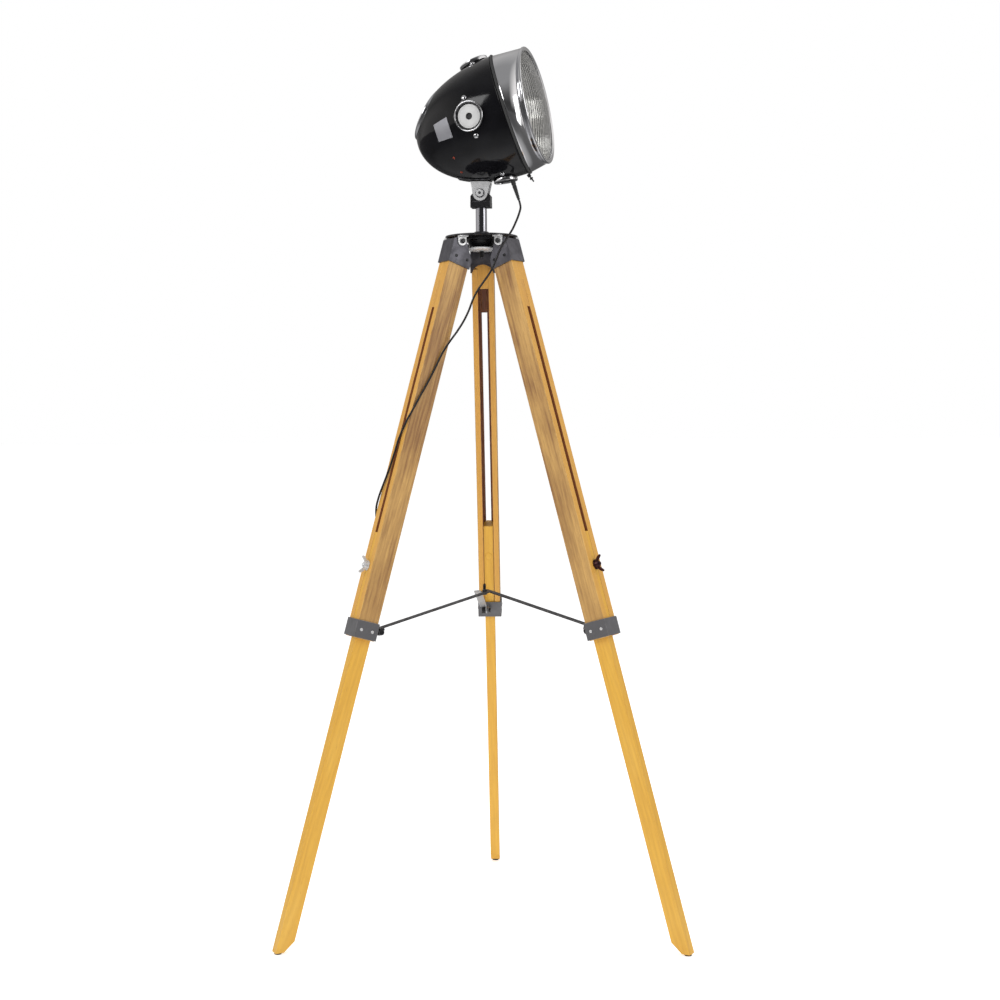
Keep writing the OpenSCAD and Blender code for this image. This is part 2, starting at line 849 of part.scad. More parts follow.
// Strip of sheet that follows the shell's skin, centred phi from the top toward the viewer
module skin_strip(phi, back0, back1, spread, rise, thick) {
  n = 5;
  step = (back1 - back0) / n;
  rotate([phi, 0, 0])
    rotate([0, 90, 0])
      rotate([0, 0, 180 - spread / 2])
        rotate_extrude(angle = spread)
          polygon(concat(
            [for (i = [0:n]) let (b = back0 + step * i) [shell_at(b, rise), -b]],
            [for (i = [n:-1:0]) let (b = back0 + step * i) [shell_at(b, rise + thick), -b]]));
}

module blank_plate() {
  color("silver")
    on_shell()
      skin_strip(92, 94, 120, 24, 0.1, 0.8);
}

module saddle() {
  color("#1c1c1e")
    on_shell()
      skin_strip(180, seat_back - 16, seat_back + 36, 22, 0.2, saddle_t);
}

module bracket() {
  color("silver")
    on_bracket()
      difference() {
        union() {
          for (side = [-1, 1]) {
            y0 = side > 0 ? ear_gap / 2 : -ear_gap / 2 - ear_t;
            side_plate(y0, y0 + ear_t) {
              circle(r = 12.5);
              polygon([[-12.3, -2], [12.3, -2], [16.5, web_z + web_t], [-16.5, web_z + web_t]]);
            }
          }
          translate([-16.5, -ear_gap / 2 - 1, web_z])
            cube([33, ear_gap + 2, web_t]);
        }
        cross_pin(0, 0, -30, 30, tilt_d / 2 + 0.1);
      }
}

module tilt_bolt() {
  reach = ear_gap / 2 + ear_t;
  color("gainsboro")
    on_bracket() {
      cross_pin(0, 0, -reach - 1, reach + 7, tilt_d / 2);
      translate([0, -reach - 5, 0])
        rotate([-90, 0, 0])
          cylinder(h = 5 - eps, r = 6.8, $fn = 6);
      difference() {
        translate([0, reach + eps, 0])
          rotate([-90, 0, 0])
            cylinder(h = 5.5, r = 6.8, $fn = 6);
        cross_pin(0, 0, 0, reach + 10, tilt_d / 2 + fit);
      }
    }
}

// Tapered strain relief that passes through the bottom port
module cord_gland() {
  color("#202020")
    on_shell()
      translate([-gland_back, 0, -shell_at(gland_back)])
        rotate([180, 0, 0])
          rotate_extrude()
            polygon([
              [0, -8], [gland_r, -8], [gland_r, gland_len * 0.35], [gland_r - 0.5, gland_len * 0.4],
              [cord_d / 2 + 1, gland_len], [0, gland_len]]);
}

module rim_screw() {
  color("#202020")
    on_shell()
      translate([-1.5, 0, -shell_r - 2.6])
        rotate([180, -20, 0]) {
          translate([-3, -3.5, 0.3])
            cube([6, 7, 5]);
          translate([0, 0, 2])
            cylinder(h = 14, r = 1.5);
          translate([0, 0, 8])
            cylinder(h = 2.5, r = 3.4, $fn = 6);
        }
}

// A point given in a leg's frame, in the row's frame
function from_leg(leg, p) =
  let (
    c = cos(leg_lean), s = sin(leg_lean), a = azimuths[leg],
    r = hinge_r + p[0] * c - p[2] * s, z = hinge_z + p[0] * s + p[2] * c)
  [r * cos(a) - p[1] * sin(a), r * sin(a) + p[1] * cos(a), z];

// A point given in the mouth's frame, in the row's frame
function from_shell(p) =
  let (
    x0 = p[0] + mouth_x, z0 = p[2] + mouth_z, c = cos(head_tilt), s = sin(head_tilt),
    x = x0 * c - z0 * s)
  [x * cos(head_pan) + p[1] * sin(head_pan), p[1] * cos(head_pan) - x * sin(head_pan),
    tilt_z + x0 * s + z0 * c];

function unit(v) = v / norm(v);
function route_length(pts, first, last) =
  last <= first ? 0 : norm(pts[last] - pts[last - 1]) + route_length(pts, first, last - 1);
function heading(pts, i) = unit(pts[min(i + 1, len(pts) - 1)] - pts[max(i - 1, 0)]);

// Round tube along part of a route, from a hair past one of its points to another
module tube(pts, first, last, r, sides = 8) {
  rings = [for (i = [first:last])
    let (t = heading(pts, i), u = unit(cross(t, [1, 0, 0])), v = cross(t, u),
      centre = pts[i] + (i == first ? tube_gap : 0) * t)
      for (k = [0:sides - 1]) centre + r * (cos(360 * k / sides) * u + sin(360 * k / sides) * v)];
  n = last - first;
  walls = [for (i = [0:n - 1], k = [0:sides - 1])
    let (a = i * sides + k, b = i * sides + (k + 1) % sides)
      each [[a, b, b + sides], [a, b + sides, a + sides]]];
  ends = [[for (k = [sides - 1:-1:0]) k], [for (k = [0:sides - 1]) n * sides + k]];
  polyhedron(rings, concat(walls, ends), convexity = 10);
}

// The whole route, straight out of the gland and straight into the plug
plug_way = [cos(plug_turn), sin(plug_turn), 0];
route = concat(
  [for (out = [0, 6]) from_shell([-gland_back, 0, -shell_at(gland_back) - gland_len - out])],
  drop_pts,
  [for (p = leg_pts) from_leg(0, p)],
  [for (p = foot_pts) from_leg(0, p)],
  floor_pts,
  [plug_at - 6 * plug_way, plug_at]);
leg_start = len(drop_pts) + 2;
leg_end = leg_start + len(leg_pts) - 1;
route_end = len(route) - 1;
echo(
  drop_mm = route_length(route, 0, leg_start), leg_mm = route_length(route, leg_start, leg_end),
  foot_mm = route_length(route, leg_end, route_end), cord_mm = route_length(route, 0, route_end));

module cord_drop() {
  color("#1a1a1a")
    tube(route, 0, leg_start, cord_r);
}

module cord_leg() {
  color("#1a1a1a")
    tube(route, leg_start, leg_end, cord_r);
}

module cord_foot() {
  color("#1a1a1a")
    tube(route, leg_end, route_end, cord_r);
}

// Small saddle clip round the cord, standing off a face of the left leg
module clip(x, face, z) {
  on_leg(0)
    difference() {
      union() {
        translate([x, face - clip_out, z])
          cylinder(h = clip_len, r = cord_r + clip_wall);
        translate([x - cord_r - clip_wall, face - clip_out, z])
          cube([2 * (cord_r + clip_wall), clip_out, clip_len]);
      }
      translate([x, face - clip_out, z - 1])
        cylinder(h = clip_len + 2, r = cord_r + fit);
      translate([x - 10, face, z - 1])
        cube([20, 10, clip_len + 2]);
    }
}

module cord_clips() {
  color("#222222")
    for (z = clip_zs)
      clip(-6, -leg_w / 2, z);
}

module foot_clips() {
  color("#222222")
    for (z = low_clip_zs)
      clip(-8.5, -lower_t / 2, z);
}

// Two-pin plug that lies on the floor
module plug() {
  color("#1a1a1a")
    translate(plug_at)
      rotate([0, 0, plug_turn]) {
        rotate([0, 90, 0])
          cylinder(h = 11, r1 = cord_r + 0.6, r2 = 4);
        translate([10, 0, 0])
          rotate([0, 90, 0])
            linear_extrude(27)
              intersection() {
                square([14, 24], center = true);
                circle(r = 12.6);
              }
        for (side = [-1, 1])
          translate([36, side * 6.35 - 0.75, -3.2])
            cube([17, 1.5, 6.4]);
      }
}

headlamp_shell();
trim_ring();
shell_gasket();
lens();
reflector();
bulb();
lamp_holder();
port_bezels();
port_discs();
port_rivets();
rear_bezel();
rear_cover();
blank_plate();
saddle();
bracket();
tilt_bolt();
cord_gland();
rim_screw();
swivel_block();
pole();
hub_boss();
hub_ring();
hub_plate();
hinge_tabs();
hinge_bolts();
spreader_bolt();
cap(0);  // left_cap
upper_leg(0);  // left_upper_leg
collar(0);  // left_collar
leg_screws(0);  // left_screws
lower_leg(0);  // left_lower_leg
foot_pad(0);  // left_foot_pad
lock_bolt(0);  // left_lock_bolt
wing_nut(0);  // left_wing_nut
spreader_arm(0);  // left_spreader_arm
cap(1);  // right_cap
upper_leg(1);  // right_upper_leg
collar(1);  // right_collar
leg_screws(1);  // right_screws
lower_leg(1);  // right_lower_leg
foot_pad(1);  // right_foot_pad
lock_bolt(1);  // right_lock_bolt
wing_nut(1);  // right_wing_nut
spreader_arm(1);  // right_spreader_arm
cap(2);  // rear_cap
upper_leg(2);  // rear_upper_leg
collar(2);  // rear_collar
leg_screws(2);  // rear_screws
lower_leg(2);  // rear_lower_leg
foot_pad(2);  // rear_foot_pad
lock_bolt(2);  // rear_lock_bolt
wing_nut(2);  // rear_wing_nut
spreader_arm(2);  // rear_spreader_arm
cord_clips();
foot_clips();
cord_drop();
cord_leg();
cord_foot();
plug();
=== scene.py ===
"""Looks of a tripod spotlight floor lamp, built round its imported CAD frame."""

import math

import bmesh
import bpy
from bpy.props import FloatProperty, FloatVectorProperty, PointerProperty
from mathutils import Matrix, Vector
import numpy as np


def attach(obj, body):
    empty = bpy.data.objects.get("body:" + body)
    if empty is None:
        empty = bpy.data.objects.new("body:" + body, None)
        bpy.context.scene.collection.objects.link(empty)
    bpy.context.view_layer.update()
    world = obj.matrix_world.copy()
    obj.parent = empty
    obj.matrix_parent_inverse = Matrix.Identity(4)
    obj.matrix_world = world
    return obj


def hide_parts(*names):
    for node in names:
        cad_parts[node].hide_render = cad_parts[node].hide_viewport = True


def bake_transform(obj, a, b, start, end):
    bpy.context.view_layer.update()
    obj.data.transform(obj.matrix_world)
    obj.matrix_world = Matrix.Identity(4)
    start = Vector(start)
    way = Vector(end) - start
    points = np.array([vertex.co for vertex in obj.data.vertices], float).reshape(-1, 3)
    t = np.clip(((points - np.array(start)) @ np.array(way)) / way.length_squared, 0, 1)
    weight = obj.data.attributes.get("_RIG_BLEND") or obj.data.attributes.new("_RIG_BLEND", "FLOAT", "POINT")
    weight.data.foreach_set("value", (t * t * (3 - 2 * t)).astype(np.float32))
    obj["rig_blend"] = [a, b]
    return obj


bl_info = {
    "name": "Tripod Spotlight Lamp",
    "version": (1, 0, 0),
    "blender": (4, 5, 0),
    "location": "3D View > Sidebar > Lamp",
    "description": "Builds the looks of a tripod spotlight floor lamp on its CAD frame",
    "category": "Object",
}

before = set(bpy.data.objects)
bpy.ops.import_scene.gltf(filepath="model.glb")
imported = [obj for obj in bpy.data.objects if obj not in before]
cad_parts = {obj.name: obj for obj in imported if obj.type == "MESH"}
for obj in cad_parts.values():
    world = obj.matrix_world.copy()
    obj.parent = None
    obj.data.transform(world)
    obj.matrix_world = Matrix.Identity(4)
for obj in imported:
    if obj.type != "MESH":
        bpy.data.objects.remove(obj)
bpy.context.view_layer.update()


def shade(red, green, blue):
    """A colour read, 0 to 255, as the linear numbers that a shader takes."""
    parts = [c / 255 for c in (red, green, blue)]
    return tuple(c / 12.92 if c <= 0.04045 else ((c + 0.055) / 1.055) ** 2.4 for c in parts)


def length(name, description, millimetres):
    """A size that is written in millimetres and kept in metres."""
    return FloatProperty(
        name=name, description=description, default=millimetres / 1000, unit="LENGTH", precision=5
    )


def colour(name, description, red, green, blue):
    return FloatVectorProperty(
        name=name, description=description, default=shade(red, green, blue), subtype="COLOR", min=0, max=1
    )


class LampSizes(bpy.types.PropertyGroup):
    shell_r: length("Shell radius", "Outer radius of the shell at its mouth", 101)
    shell_len: length("Shell length", "From the mouth to the tip", 164)
    shell_wall: length("Shell wall", "Thickness of the shell's sheet", 1.5)
    ring_depth: length("Ring depth", "Depth of the trim ring at its middle", 47.5)
    lens_rise: length("Lens rise", "Rise of the lens's dome", 13)
    flute_pitch: length("Flute pitch", "From one flute of the lens to the next", 9)
    flute_depth: length("Flute depth", "Depth of a flute", 0.9)
    port_r: length("Port radius", "Outer radius of a side port's bezel", 25)
    low_port_r: length("Bottom port radius", "Outer radius of the bottom port's bezel", 20.5)
    rear_r: length("Rear bezel radius", "Outer radius of the rear bezel", 46)
    wood_edge: length("Wood edge", "Rounding of the wood's edges", 0.9)
    sheet_edge: length("Sheet edge", "Rounding of the sheet metal's edges", 0.45)
    cord_d: length("Cord diameter", "Diameter of the cord", 3.5)
    thread_pitch: length("Thread pitch", "Pitch of the bolts' threads", 1.25)
    grain_spacing: length("Grain spacing", "Distance between two growth rings", 3.2)


class LampColours(bpy.types.PropertyGroup):
    paint: colour("Paint", "Gloss black of the shell", 9, 9, 11)
    chrome: colour("Chrome", "Trim ring and bezels", 222, 220, 216)
    steel: colour("Steel", "Bracket, nuts and tabs", 216, 216, 216)
    dark_steel: colour("Dark steel", "Caps, collars and arms", 98, 97, 103)
    pole: colour("Pole", "Dark chrome of the pole", 190, 190, 195)
    black: colour("Black", "Hub, block and gland", 17, 17, 19)
    disc: colour("Disc", "Satin white discs", 182, 182, 181)
    upper_wood: colour("Upper wood", "Faces of the upper legs", 206, 154, 64)
    grain: colour("Grain", "Dark grain of the upper legs' sides", 134, 94, 50)
    side_wood: colour("Side wood", "Ground of the upper legs' sides", 196, 154, 86)
    # The slots' reddish brown is painted shade: the same wood, darkened where the slot walls lie in shadow.
    slot_wood: colour("Slot wood", "Inside of the slots", 160, 98, 56)
    lower_wood: colour("Lower wood", "Lower legs", 214, 164, 54)
    cord: colour("Cord", "Sheath of the cord", 22, 21, 22)
    # A painted reflection: the pink of small lamps mirrored in the shell, given to the shell screws' heads.
    copper: colour("Copper", "Small reddish screws", 190, 96, 78)
    floor: colour("Floor", "Pale floor", 250, 250, 250)


def sizes():
    """The lamp's sizes in millimetres, by name."""
    group = bpy.context.scene.lamp_sizes
    return {name: getattr(group, name) * 1000 for name in LampSizes.__annotations__}


def tint(name):
    return tuple(getattr(bpy.context.scene.lamp_colours, name))


# ---------------------------------------------------------------- frames
# Lengths that the CAD frame fixes, in millimetres, and angles in degrees
HINGE_Z, HINGE_R, LEAN = 1157, 48, 16.2
LEGS = {"left": 207.4, "right": 327.4, "rear": 87.4}
UPPER_LEN, RAIL_T, SLOT_W, RAIL_D, RAIL_IN = 680, 10, 18, 36, 24
RAIL_OUT, LEG_W = RAIL_D - RAIL_IN, SLOT_W + 2 * RAIL_T
LIP_IN, LIP_SLOT = 5.5, 9.5
BLOCK_LEN, BLOCK_INSET, TONGUE_LEN = 69, 0.3, 117
WOOD_ROUND, WOOD_SHOULDER = 6.3, -25.65
LOWER_IN, LOCK_Z = 22, -561
COLLAR_TOP = -650
CAP_W = LEG_W + 4.4
PIVOT_X, PIVOT_Z, LUG_FACE, TAB_FACE = -36, -662, 4.6, 6.8
PLATE_Z, PLATE_T, SHOULDER_Z, TILT_Z = 1166, 3, 1216.5, 1240
PAN, TILT = 9, 17.6
SEAT_BACK, SEAT_DROP = 80, 22
RING_LEAN, RING_TURN, RING_BACK, RING_FRONT = 7.5, 6.5, 100, 96.5
LENS_R, LENS_FRONT, LENS_T, LENS_FLAT, LENS_CELLS = 93.5, -1.3, 3, 4, 122
BOWL_R, BOWL_T, BOWL_DEEP, BOWL_NECK, BULB_BACK = 88.5, 1.2, 66, 16, 38
GLAND_BACK, GLAND_LEN, GLAND_RIBS, RIB_PITCH, GASKET_T = 29.5, 39, 8, 2.6, 4
HINGE_BOLT_R, HINGE_HEAD_R, HINGE_HEAD_H, TAB_GAP, TAB_T = 3, 4.5, 4, 0.3, 2.5
SPREADER_Z = 567
BRACKET_GAP, BRACKET_T, TILT_BOLT_R, NUT_R, WASHER_R = 21.2, 2.4, 4, 6.8, 7.6
BOSS_R, BOSS_H, LOW_BOSS_H, STUD_R, HUB_WASHER_R = 29.5, 7.5, 17, 4.2, 28
POLE_R, SPIGOT_R, SPIGOT_H = 9.5, 7, 12
PIVOT_BOLT_R, KNOB_R, KNOB_W, KNOB_NOTCH, LOCK_BOLT_R, WING_T = 2.5, 5.2, 7, 0.88, 3, 2.5
REAR_TURN = 44  # how far the rear cover leans forward from the shell's axis
SCREWS = ((3, -26), (-18, -27), (4, COLLAR_TOP - 15), (-16, COLLAR_TOP - 15))  # on the caps and the collars
# On the shell, as degrees from the top toward the viewer and millimetres behind the mouth
SHELL_SCREWS = ((128.5, 105.1), (153.4, 103.3), (-128.5, 105.1), (-153.4, 103.3))
BADGE_STUDS = ((81.5, 97), (81.5, 117), (102.5, 97), (102.5, 117))
RING_T = 1.2
GAP = 0.01  # keeps two pieces' faces apart


def turn(degrees, axis):
    return Matrix.Rotation(math.radians(degrees), 4, axis)


def shift(x, y, z):
    return Matrix.Translation((x, y, z))


ROW = Matrix.Scale(0.001, 4)


def leg_frame(leg):
    return ROW @ turn(LEGS[leg], "Z") @ shift(HINGE_R, 0, HINGE_Z) @ turn(-LEAN, "Y")


def azimuth_frame(leg):
    return ROW @ turn(LEGS[leg], "Z")


def shell_at(back, grow=0.0):
    s = sizes()
    return (s["shell_r"] + grow) * math.sqrt(max(0, 1 - (back / (s["shell_len"] + grow)) ** 2))


def lean_at(back):
    s = sizes()
    return math.degrees(math.atan2(back * s["shell_r"] ** 2, shell_at(back) * s["shell_len"] ** 2))


def head_frame():
    return ROW @ shift(0, 0, TILT_Z) @ turn(-PAN, "Z") @ turn(-TILT, "Y")


def bracket_frame():
    return head_frame() @ turn(lean_at(SEAT_BACK), "Y")


def shell_frame():
    lean = math.radians(lean_at(SEAT_BACK))
    high = shell_at(SEAT_BACK) + SEAT_DROP * math.cos(lean)
    return head_frame() @ shift(SEAT_BACK + SEAT_DROP * math.sin(lean), 0, high)


def ring_frame():
    return shell_frame() @ shift(sizes()["ring_depth"], 0, 0) @ turn(-RING_TURN, "Z") @ turn(RING_LEAN, "Y")


def port_frame(around, back):
    """On the shell's skin: around turns from the top toward the viewer, and +Z is outward."""
    return shell_frame() @ turn(around, "X") @ shift(-back, 0, shell_at(back)) @ turn(-lean_at(back), "Y")


def rear_frame():
    s = sizes()
    tip = math.radians(90 - REAR_TURN)
    reach = math.hypot(s["shell_len"] * math.cos(tip), s["shell_r"] * math.sin(tip))
    x = -(s["shell_len"] ** 2) * math.cos(tip) / reach
    z = s["shell_r"] ** 2 * math.sin(tip) / reach
    return shell_frame() @ shift(x, 0, z) @ turn(-REAR_TURN, "Y")


AXIS_X = turn(90, "Y")  # a lathe's axis from +Z to +X
ACROSS = turn(-90, "X")  # a lathe's axis from +Z to +Y


# ---------------------------------------------------------------- mesh tools
def started():
    part = bmesh.new()
    part.faces.layers.float.new("wear")
    return part


def lathe(profile, steps=64, closed=True):
    """Turns a line of (radius, height) points round +Z."""
    part = started()
    verts = [part.verts.new((r, 0, z)) for r, z in profile]
    edges = [part.edges.new(pair) for pair in zip(verts, verts[1:])]
    if closed:
        edges.append(part.edges.new((verts[-1], verts[0])))
    bmesh.ops.spin(
        part, geom=verts + edges, cent=(0, 0, 0), axis=(0, 0, 1), angle=math.tau, steps=steps, use_merge=True
    )
    bmesh.ops.remove_doubles(part, verts=part.verts, dist=1e-4)
    bmesh.ops.recalc_face_normals(part, faces=part.faces)
    return part


def turned(profile, steps=64):
    """A lathe shape whose line starts and ends on the axis."""
    return lathe(profile, steps, closed=False)


def arc(x, z, wide, high, first, last, step=15):
    """Points of an ellipse's arc, from one angle to another in degrees."""
    return [(x + wide * math.cos(math.radians(a)), z + high * math.sin(math.radians(a)))
            for a in range(first, last, step)]


def block(x0, x1, y0, y1, z0, z1):
    part = started()
    middle = shift((x0 + x1) / 2, (y0 + y1) / 2, (z0 + z1) / 2)
    bmesh.ops.create_cube(part, size=1, matrix=middle @ Matrix.Diagonal((x1 - x0, y1 - y0, z1 - z0, 1)))
    return part


def plate(outline, y0, y1):
    """A plate with its outline in X and Z, from y0 to y1."""
    part = started()
    face = part.faces.new([part.verts.new((x, y0, z)) for x, z in outline])
    made = bmesh.ops.extrude_face_region(part, geom=[face])["geom"]
    bmesh.ops.translate(part, vec=(0, y1 - y0, 0), verts=[v for v in made if isinstance(v, bmesh.types.BMVert)])
    bmesh.ops.recalc_face_normals(part, faces=part.faces)
    return part


def rod(radius, low, high, sides=24):
    part = started()
    bmesh.ops.create_cone(
        part, cap_ends=True, segments=sides, radius1=radius, radius2=radius, depth=high - low,
        matrix=shift(0, 0, (low + high) / 2),
    )
    return part


def ease(part, width, angle=30, segments=2):
    """Rounds the sharp edges, and marks the new faces so that they can show wear."""
    sharp = [e for e in part.edges if e.is_manifold and e.calc_face_angle(0) > math.radians(angle)]
    made = bmesh.ops.bevel(
        part, geom=sharp, offset=width, affect="EDGES", segments=segments, profile=0.5, material=-1,
        clamp_overlap=True,
    )
    wear = part.faces.layers.float["wear"]
    for face in made["faces"]:
        face[wear] = 1
    return part


def carved(node, into):
    """A merged copy of a CAD node's mesh, in the millimetres of a frame."""
    part = started()
    part.from_mesh(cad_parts[node].data)
    bmesh.ops.transform(part, matrix=into.inverted(), verts=part.verts)
    bmesh.ops.remove_doubles(part, verts=part.verts, dist=1e-3)
    bmesh.ops.dissolve_limit(
        part, angle_limit=math.radians(0.6), use_dissolve_boundaries=False, verts=part.verts, edges=part.edges
    )
    bmesh.ops.recalc_face_normals(part, faces=part.faces)
    return part


def thread(radius, low, high, steps=24):
    """The crests and roots of a bolt's thread, with a chamfered end."""
    pitch = sizes()["thread_pitch"]
    count = max(1, round((high - low) / pitch))
    step = (high - low) / count
    line = [(0, low)]
    for i in range(count):
        line += [(radius - 0.55, low + step * i), (radius, low + step * (i + 0.5))]
    return turned(line + [(radius - 0.7, high), (0, high)], steps)


def hexagon(across, low, high):
    """A nut or bolt head with chamfered corners; across is its corner radius."""
    part = rod(across, low, high, 6)
    return ease(part, 0.6, 25, 2)


def linked(name, data):
    """A new object in the scene."""
    made = bpy.data.objects.new(name, data)
    bpy.context.scene.collection.objects.link(made)
    return made


class Piece:
    """A named piece of the lamp, put together from parts."""

    def __init__(self, name, place):
        self.name, self.place, self.mesh = name, place, started()

    def add(self, part, at=None, finish=0):
        bmesh.ops.transform(part, matrix=self.place @ (at or Matrix.Identity(4)), verts=part.verts)
        for face in part.faces:
            face.material_index = finish
        step = bpy.data.meshes.new("step")
        part.to_mesh(step)
        part.free()
        self.mesh.from_mesh(step)
        bpy.data.meshes.remove(step)
        return self

    def done(self, body, nodes, slot, *finishes, crease=40, weighted=True):
        for face in self.mesh.faces:
            face.smooth = True
        for edge in self.mesh.edges:
            edge.smooth = not edge.is_manifold or edge.calc_face_angle(0) < math.radians(crease)
        data = bpy.data.meshes.new(self.name)
        self.mesh.to_mesh(data)
        self.mesh.free()
        made = linked(self.name, data)
        for finish in finishes:
            data.materials.append(finish)
        if weighted:
            flat = made.modifiers.new("Flat faces", "WEIGHTED_NORMAL")
            flat.keep_sharp = True
        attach(made, body)
        if nodes:
            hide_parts(*nodes)
        return made


def rounded(name, node, place, bevel, body, slot, *finishes, **how):
    """A piece with a CAD node's own shape, its edges rounded by bevel (width, angle, segments)."""
    made = Piece(name, place)
    made.add(ease(carved(node, place), *bevel))
    return made.done(body, [node], slot, *finishes, **how)


def single(name, place, part, body, nodes, slot, *finishes, crease=50):
    """A piece of one smooth part."""
    return Piece(name, place).add(part).done(body, nodes, slot, *finishes, crease=crease, weighted=False)


def walled(made, thickness):
    """Gives a skin its wall, in millimetres, on the inside."""
    wall = made.modifiers.new("Wall", "SOLIDIFY")
    wall.thickness, wall.offset = thickness / 1000, -1


# ---------------------------------------------------------------- materials
class Signal:
    """A socket whose sums write Math nodes."""

    def __init__(self, finish, socket):
        self.finish, self.socket = finish, socket

    def __add__(self, other):
        return self.finish.sum("ADD", self, other)

    def __sub__(self, other):
        return self.finish.sum("SUBTRACT", self, other)

    def __rsub__(self, other):
        return self.finish.sum("SUBTRACT", other, self)

    def __mul__(self, other):
        return self.finish.sum("MULTIPLY", self, other)

    def __truediv__(self, other):
        return self.finish.sum("DIVIDE", self, other)

    __radd__, __rmul__ = __add__, __mul__


class Nodes:
    """A node tree in the making."""

    def __init__(self, tree):
        self.tree = tree

    def node(self, kind, settings=None, inputs=None, output=0):
        """A new node: its settings are set first, then the values or links of its sockets."""
        made = self.tree.nodes.new(kind)
        for key, value in (settings or {}).items():
            if key == "stops":
                ramp = made.color_ramp.elements
                while len(ramp) < len(value):
                    ramp.new(0.5)
                for stop, (place, shade_of) in zip(ramp, value):
                    stop.position = place
                    stop.color = (*shade_of, 1) if hasattr(shade_of, "__len__") else (shade_of,) * 3 + (1,)
            else:
                setattr(made, key, value)
        for key, value in (inputs or {}).items():
            self.feed(made.inputs[key], value)
        return Signal(self, made.outputs[output])

    def feed(self, socket, value):
        if isinstance(value, Signal):
            self.tree.links.new(value.socket, socket)
        elif socket.type == "RGBA" and len(value) == 3:
            socket.default_value = (*value, 1)
        else:
            socket.default_value = value

    def sum(self, operation, a, b=0.0, clamp=False):
        return self.node("ShaderNodeMath", {"operation": operation, "use_clamp": clamp}, {0: a, 1: b})

    def place(self, location=(0, 0, 0), rotation=(0, 0, 0), scale=(1, 1, 1)):
        at = self.node("ShaderNodeTexCoord", output="Object")
        sockets = {"Vector": at, "Location": location, "Rotation": rotation, "Scale": scale}
        return self.node("ShaderNodeMapping", None, sockets)

    def stretch(self, at, scale):
        return self.node("ShaderNodeMapping", None, {"Vector": at, "Scale": scale})

    def noise(self, at, scale, detail=2.0, rough=0.5, bend=0.0):
        return self.node(
            "ShaderNodeTexNoise", None,
            {"Vector": at, "Scale": scale, "Detail": detail, "Roughness": rough, "Distortion": bend},
        )

    def drawn(self, at, along, scale, *detail):
        """Noise whose size along Z is changed: the smaller the number, the longer its streaks."""
        return self.noise(self.stretch(at, (1, 1, along)), scale, *detail)

    def ramp(self, value, *stops):
        return self.node("ShaderNodeValToRGB", {"stops": stops}, {0: value})

    def between(self, value, low, high, to_low=0.0, to_high=1.0):
        return self.node("ShaderNodeMapRange", None, {0: value, 1: low, 2: high, 3: to_low, 4: to_high})

    def mix(self, share, a, b, blend="MIX"):
        return self.node(
            "ShaderNodeMix", {"data_type": "RGBA", "blend_type": blend}, {0: share, 6: a, 7: b}, output=2
        )

    def axes(self, at):
        """The three parts of a vector."""
        split = self.node("ShaderNodeSeparateXYZ", None, {0: at}).socket.node
        return [Signal(self, part) for part in split.outputs]


class Finish(Nodes):
    """A material in the making."""

    def __init__(self, name):
        self.material = bpy.data.materials.new(name)
        self.material.use_nodes = True
        super().__init__(self.material.node_tree)
        self.shader = self.tree.nodes["Principled BSDF"]

    def wear(self):
        return self.node("ShaderNodeAttribute", {"attribute_name": "wear"}, output="Fac")

    def bump(self, height, strength, distance):
        return self.node("ShaderNodeBump", None, {"Height": height, "Strength": strength, "Distance": distance})

    def done(self, **sockets):
        names = {"base": "Base Color", "rough": "Roughness", "metal": "Metallic", "normal": "Normal",
                 "coat": "Coat Weight", "coat_rough": "Coat Roughness", "ior": "IOR",
                 "clear": "Transmission Weight", "alpha": "Alpha", "glow": "Emission Color",
                 "glow_strength": "Emission Strength"}
        for key, value in sockets.items():
            self.feed(self.shader.inputs[names[key]], value)
        return self.material


def kept(make):
    """Makes a material once, from an empty Finish, and gives the same one each time after."""

    def finish(*key):
        name = " ".join([make.__name__.replace("_", " "), *map(str, key)])
        return bpy.data.materials.get(name) or make(Finish(name), *key)

    return finish


@kept
def gloss_paint(f):
    at = f.place()
    dust = f.noise(at, 900, 2)
    haze = f.noise(at, 26, 4, 0.6)
    peel = f.noise(at, 260, 1)
    rough = f.between(haze, 0.3, 0.75, 0.045, 0.13) + f.between(dust, 0.66, 0.75) * 0.12
    base = f.mix(f.between(haze, 0.35, 0.8) * 0.25, tint("paint"), shade(34, 34, 38))
    return f.done(base=base, rough=rough, ior=1.38, normal=f.bump(peel, 0.05, 0.0006))


@kept
def chrome(f):
    at = f.place()
    smear = f.drawn(at, 0.3, 45, 4, 0.6)
    pits = f.noise(at, 700, 2)
    rough = f.between(smear, 0.3, 0.8, 0.05, 0.17) + f.between(pits, 0.68, 0.76) * 0.2
    base = f.mix(f.between(pits, 0.7, 0.78), tint("chrome"), shade(120, 104, 88))
    return f.done(base=base, metal=1.0, rough=rough, normal=f.bump(smear, 0.08, 0.0008))


def plain(f, tones, grain, cloud, rough, relief=None, squeeze=None, **more):
    """A cloud between two tones, with a fine grain in gloss and relief. A noise is (scale, detail)."""
    at = f.place()
    fine = f.noise(f.stretch(at, squeeze) if squeeze else at, *grain)
    soft = f.noise(at, *cloud) if cloud else fine
    if relief:
        more["normal"] = f.bump(fine, *relief)
    return f.done(base=f.mix(soft, *tones), rough=f.between(fine, 0.3, 0.7, *rough), **more)


@kept
def mirror_bowl(f):
    return plain(f, (shade(240, 238, 234), shade(220, 217, 212)), (60, 3), None, (0.08, 0.2), metal=0.55)


@kept
def bright_steel(f):
    at = f.place()
    brushed = f.drawn(at, 8, 240, 3)
    stain = f.noise(at, 80, 4, 0.65)
    rough = f.between(brushed, 0.3, 0.7, 0.2, 0.36)
    base = f.mix(f.between(stain, 0.55, 0.8) * 0.5, tint("steel"), shade(140, 138, 134))
    return f.done(base=base, metal=0.45, rough=rough, normal=f.bump(brushed, 0.12, 0.0004))


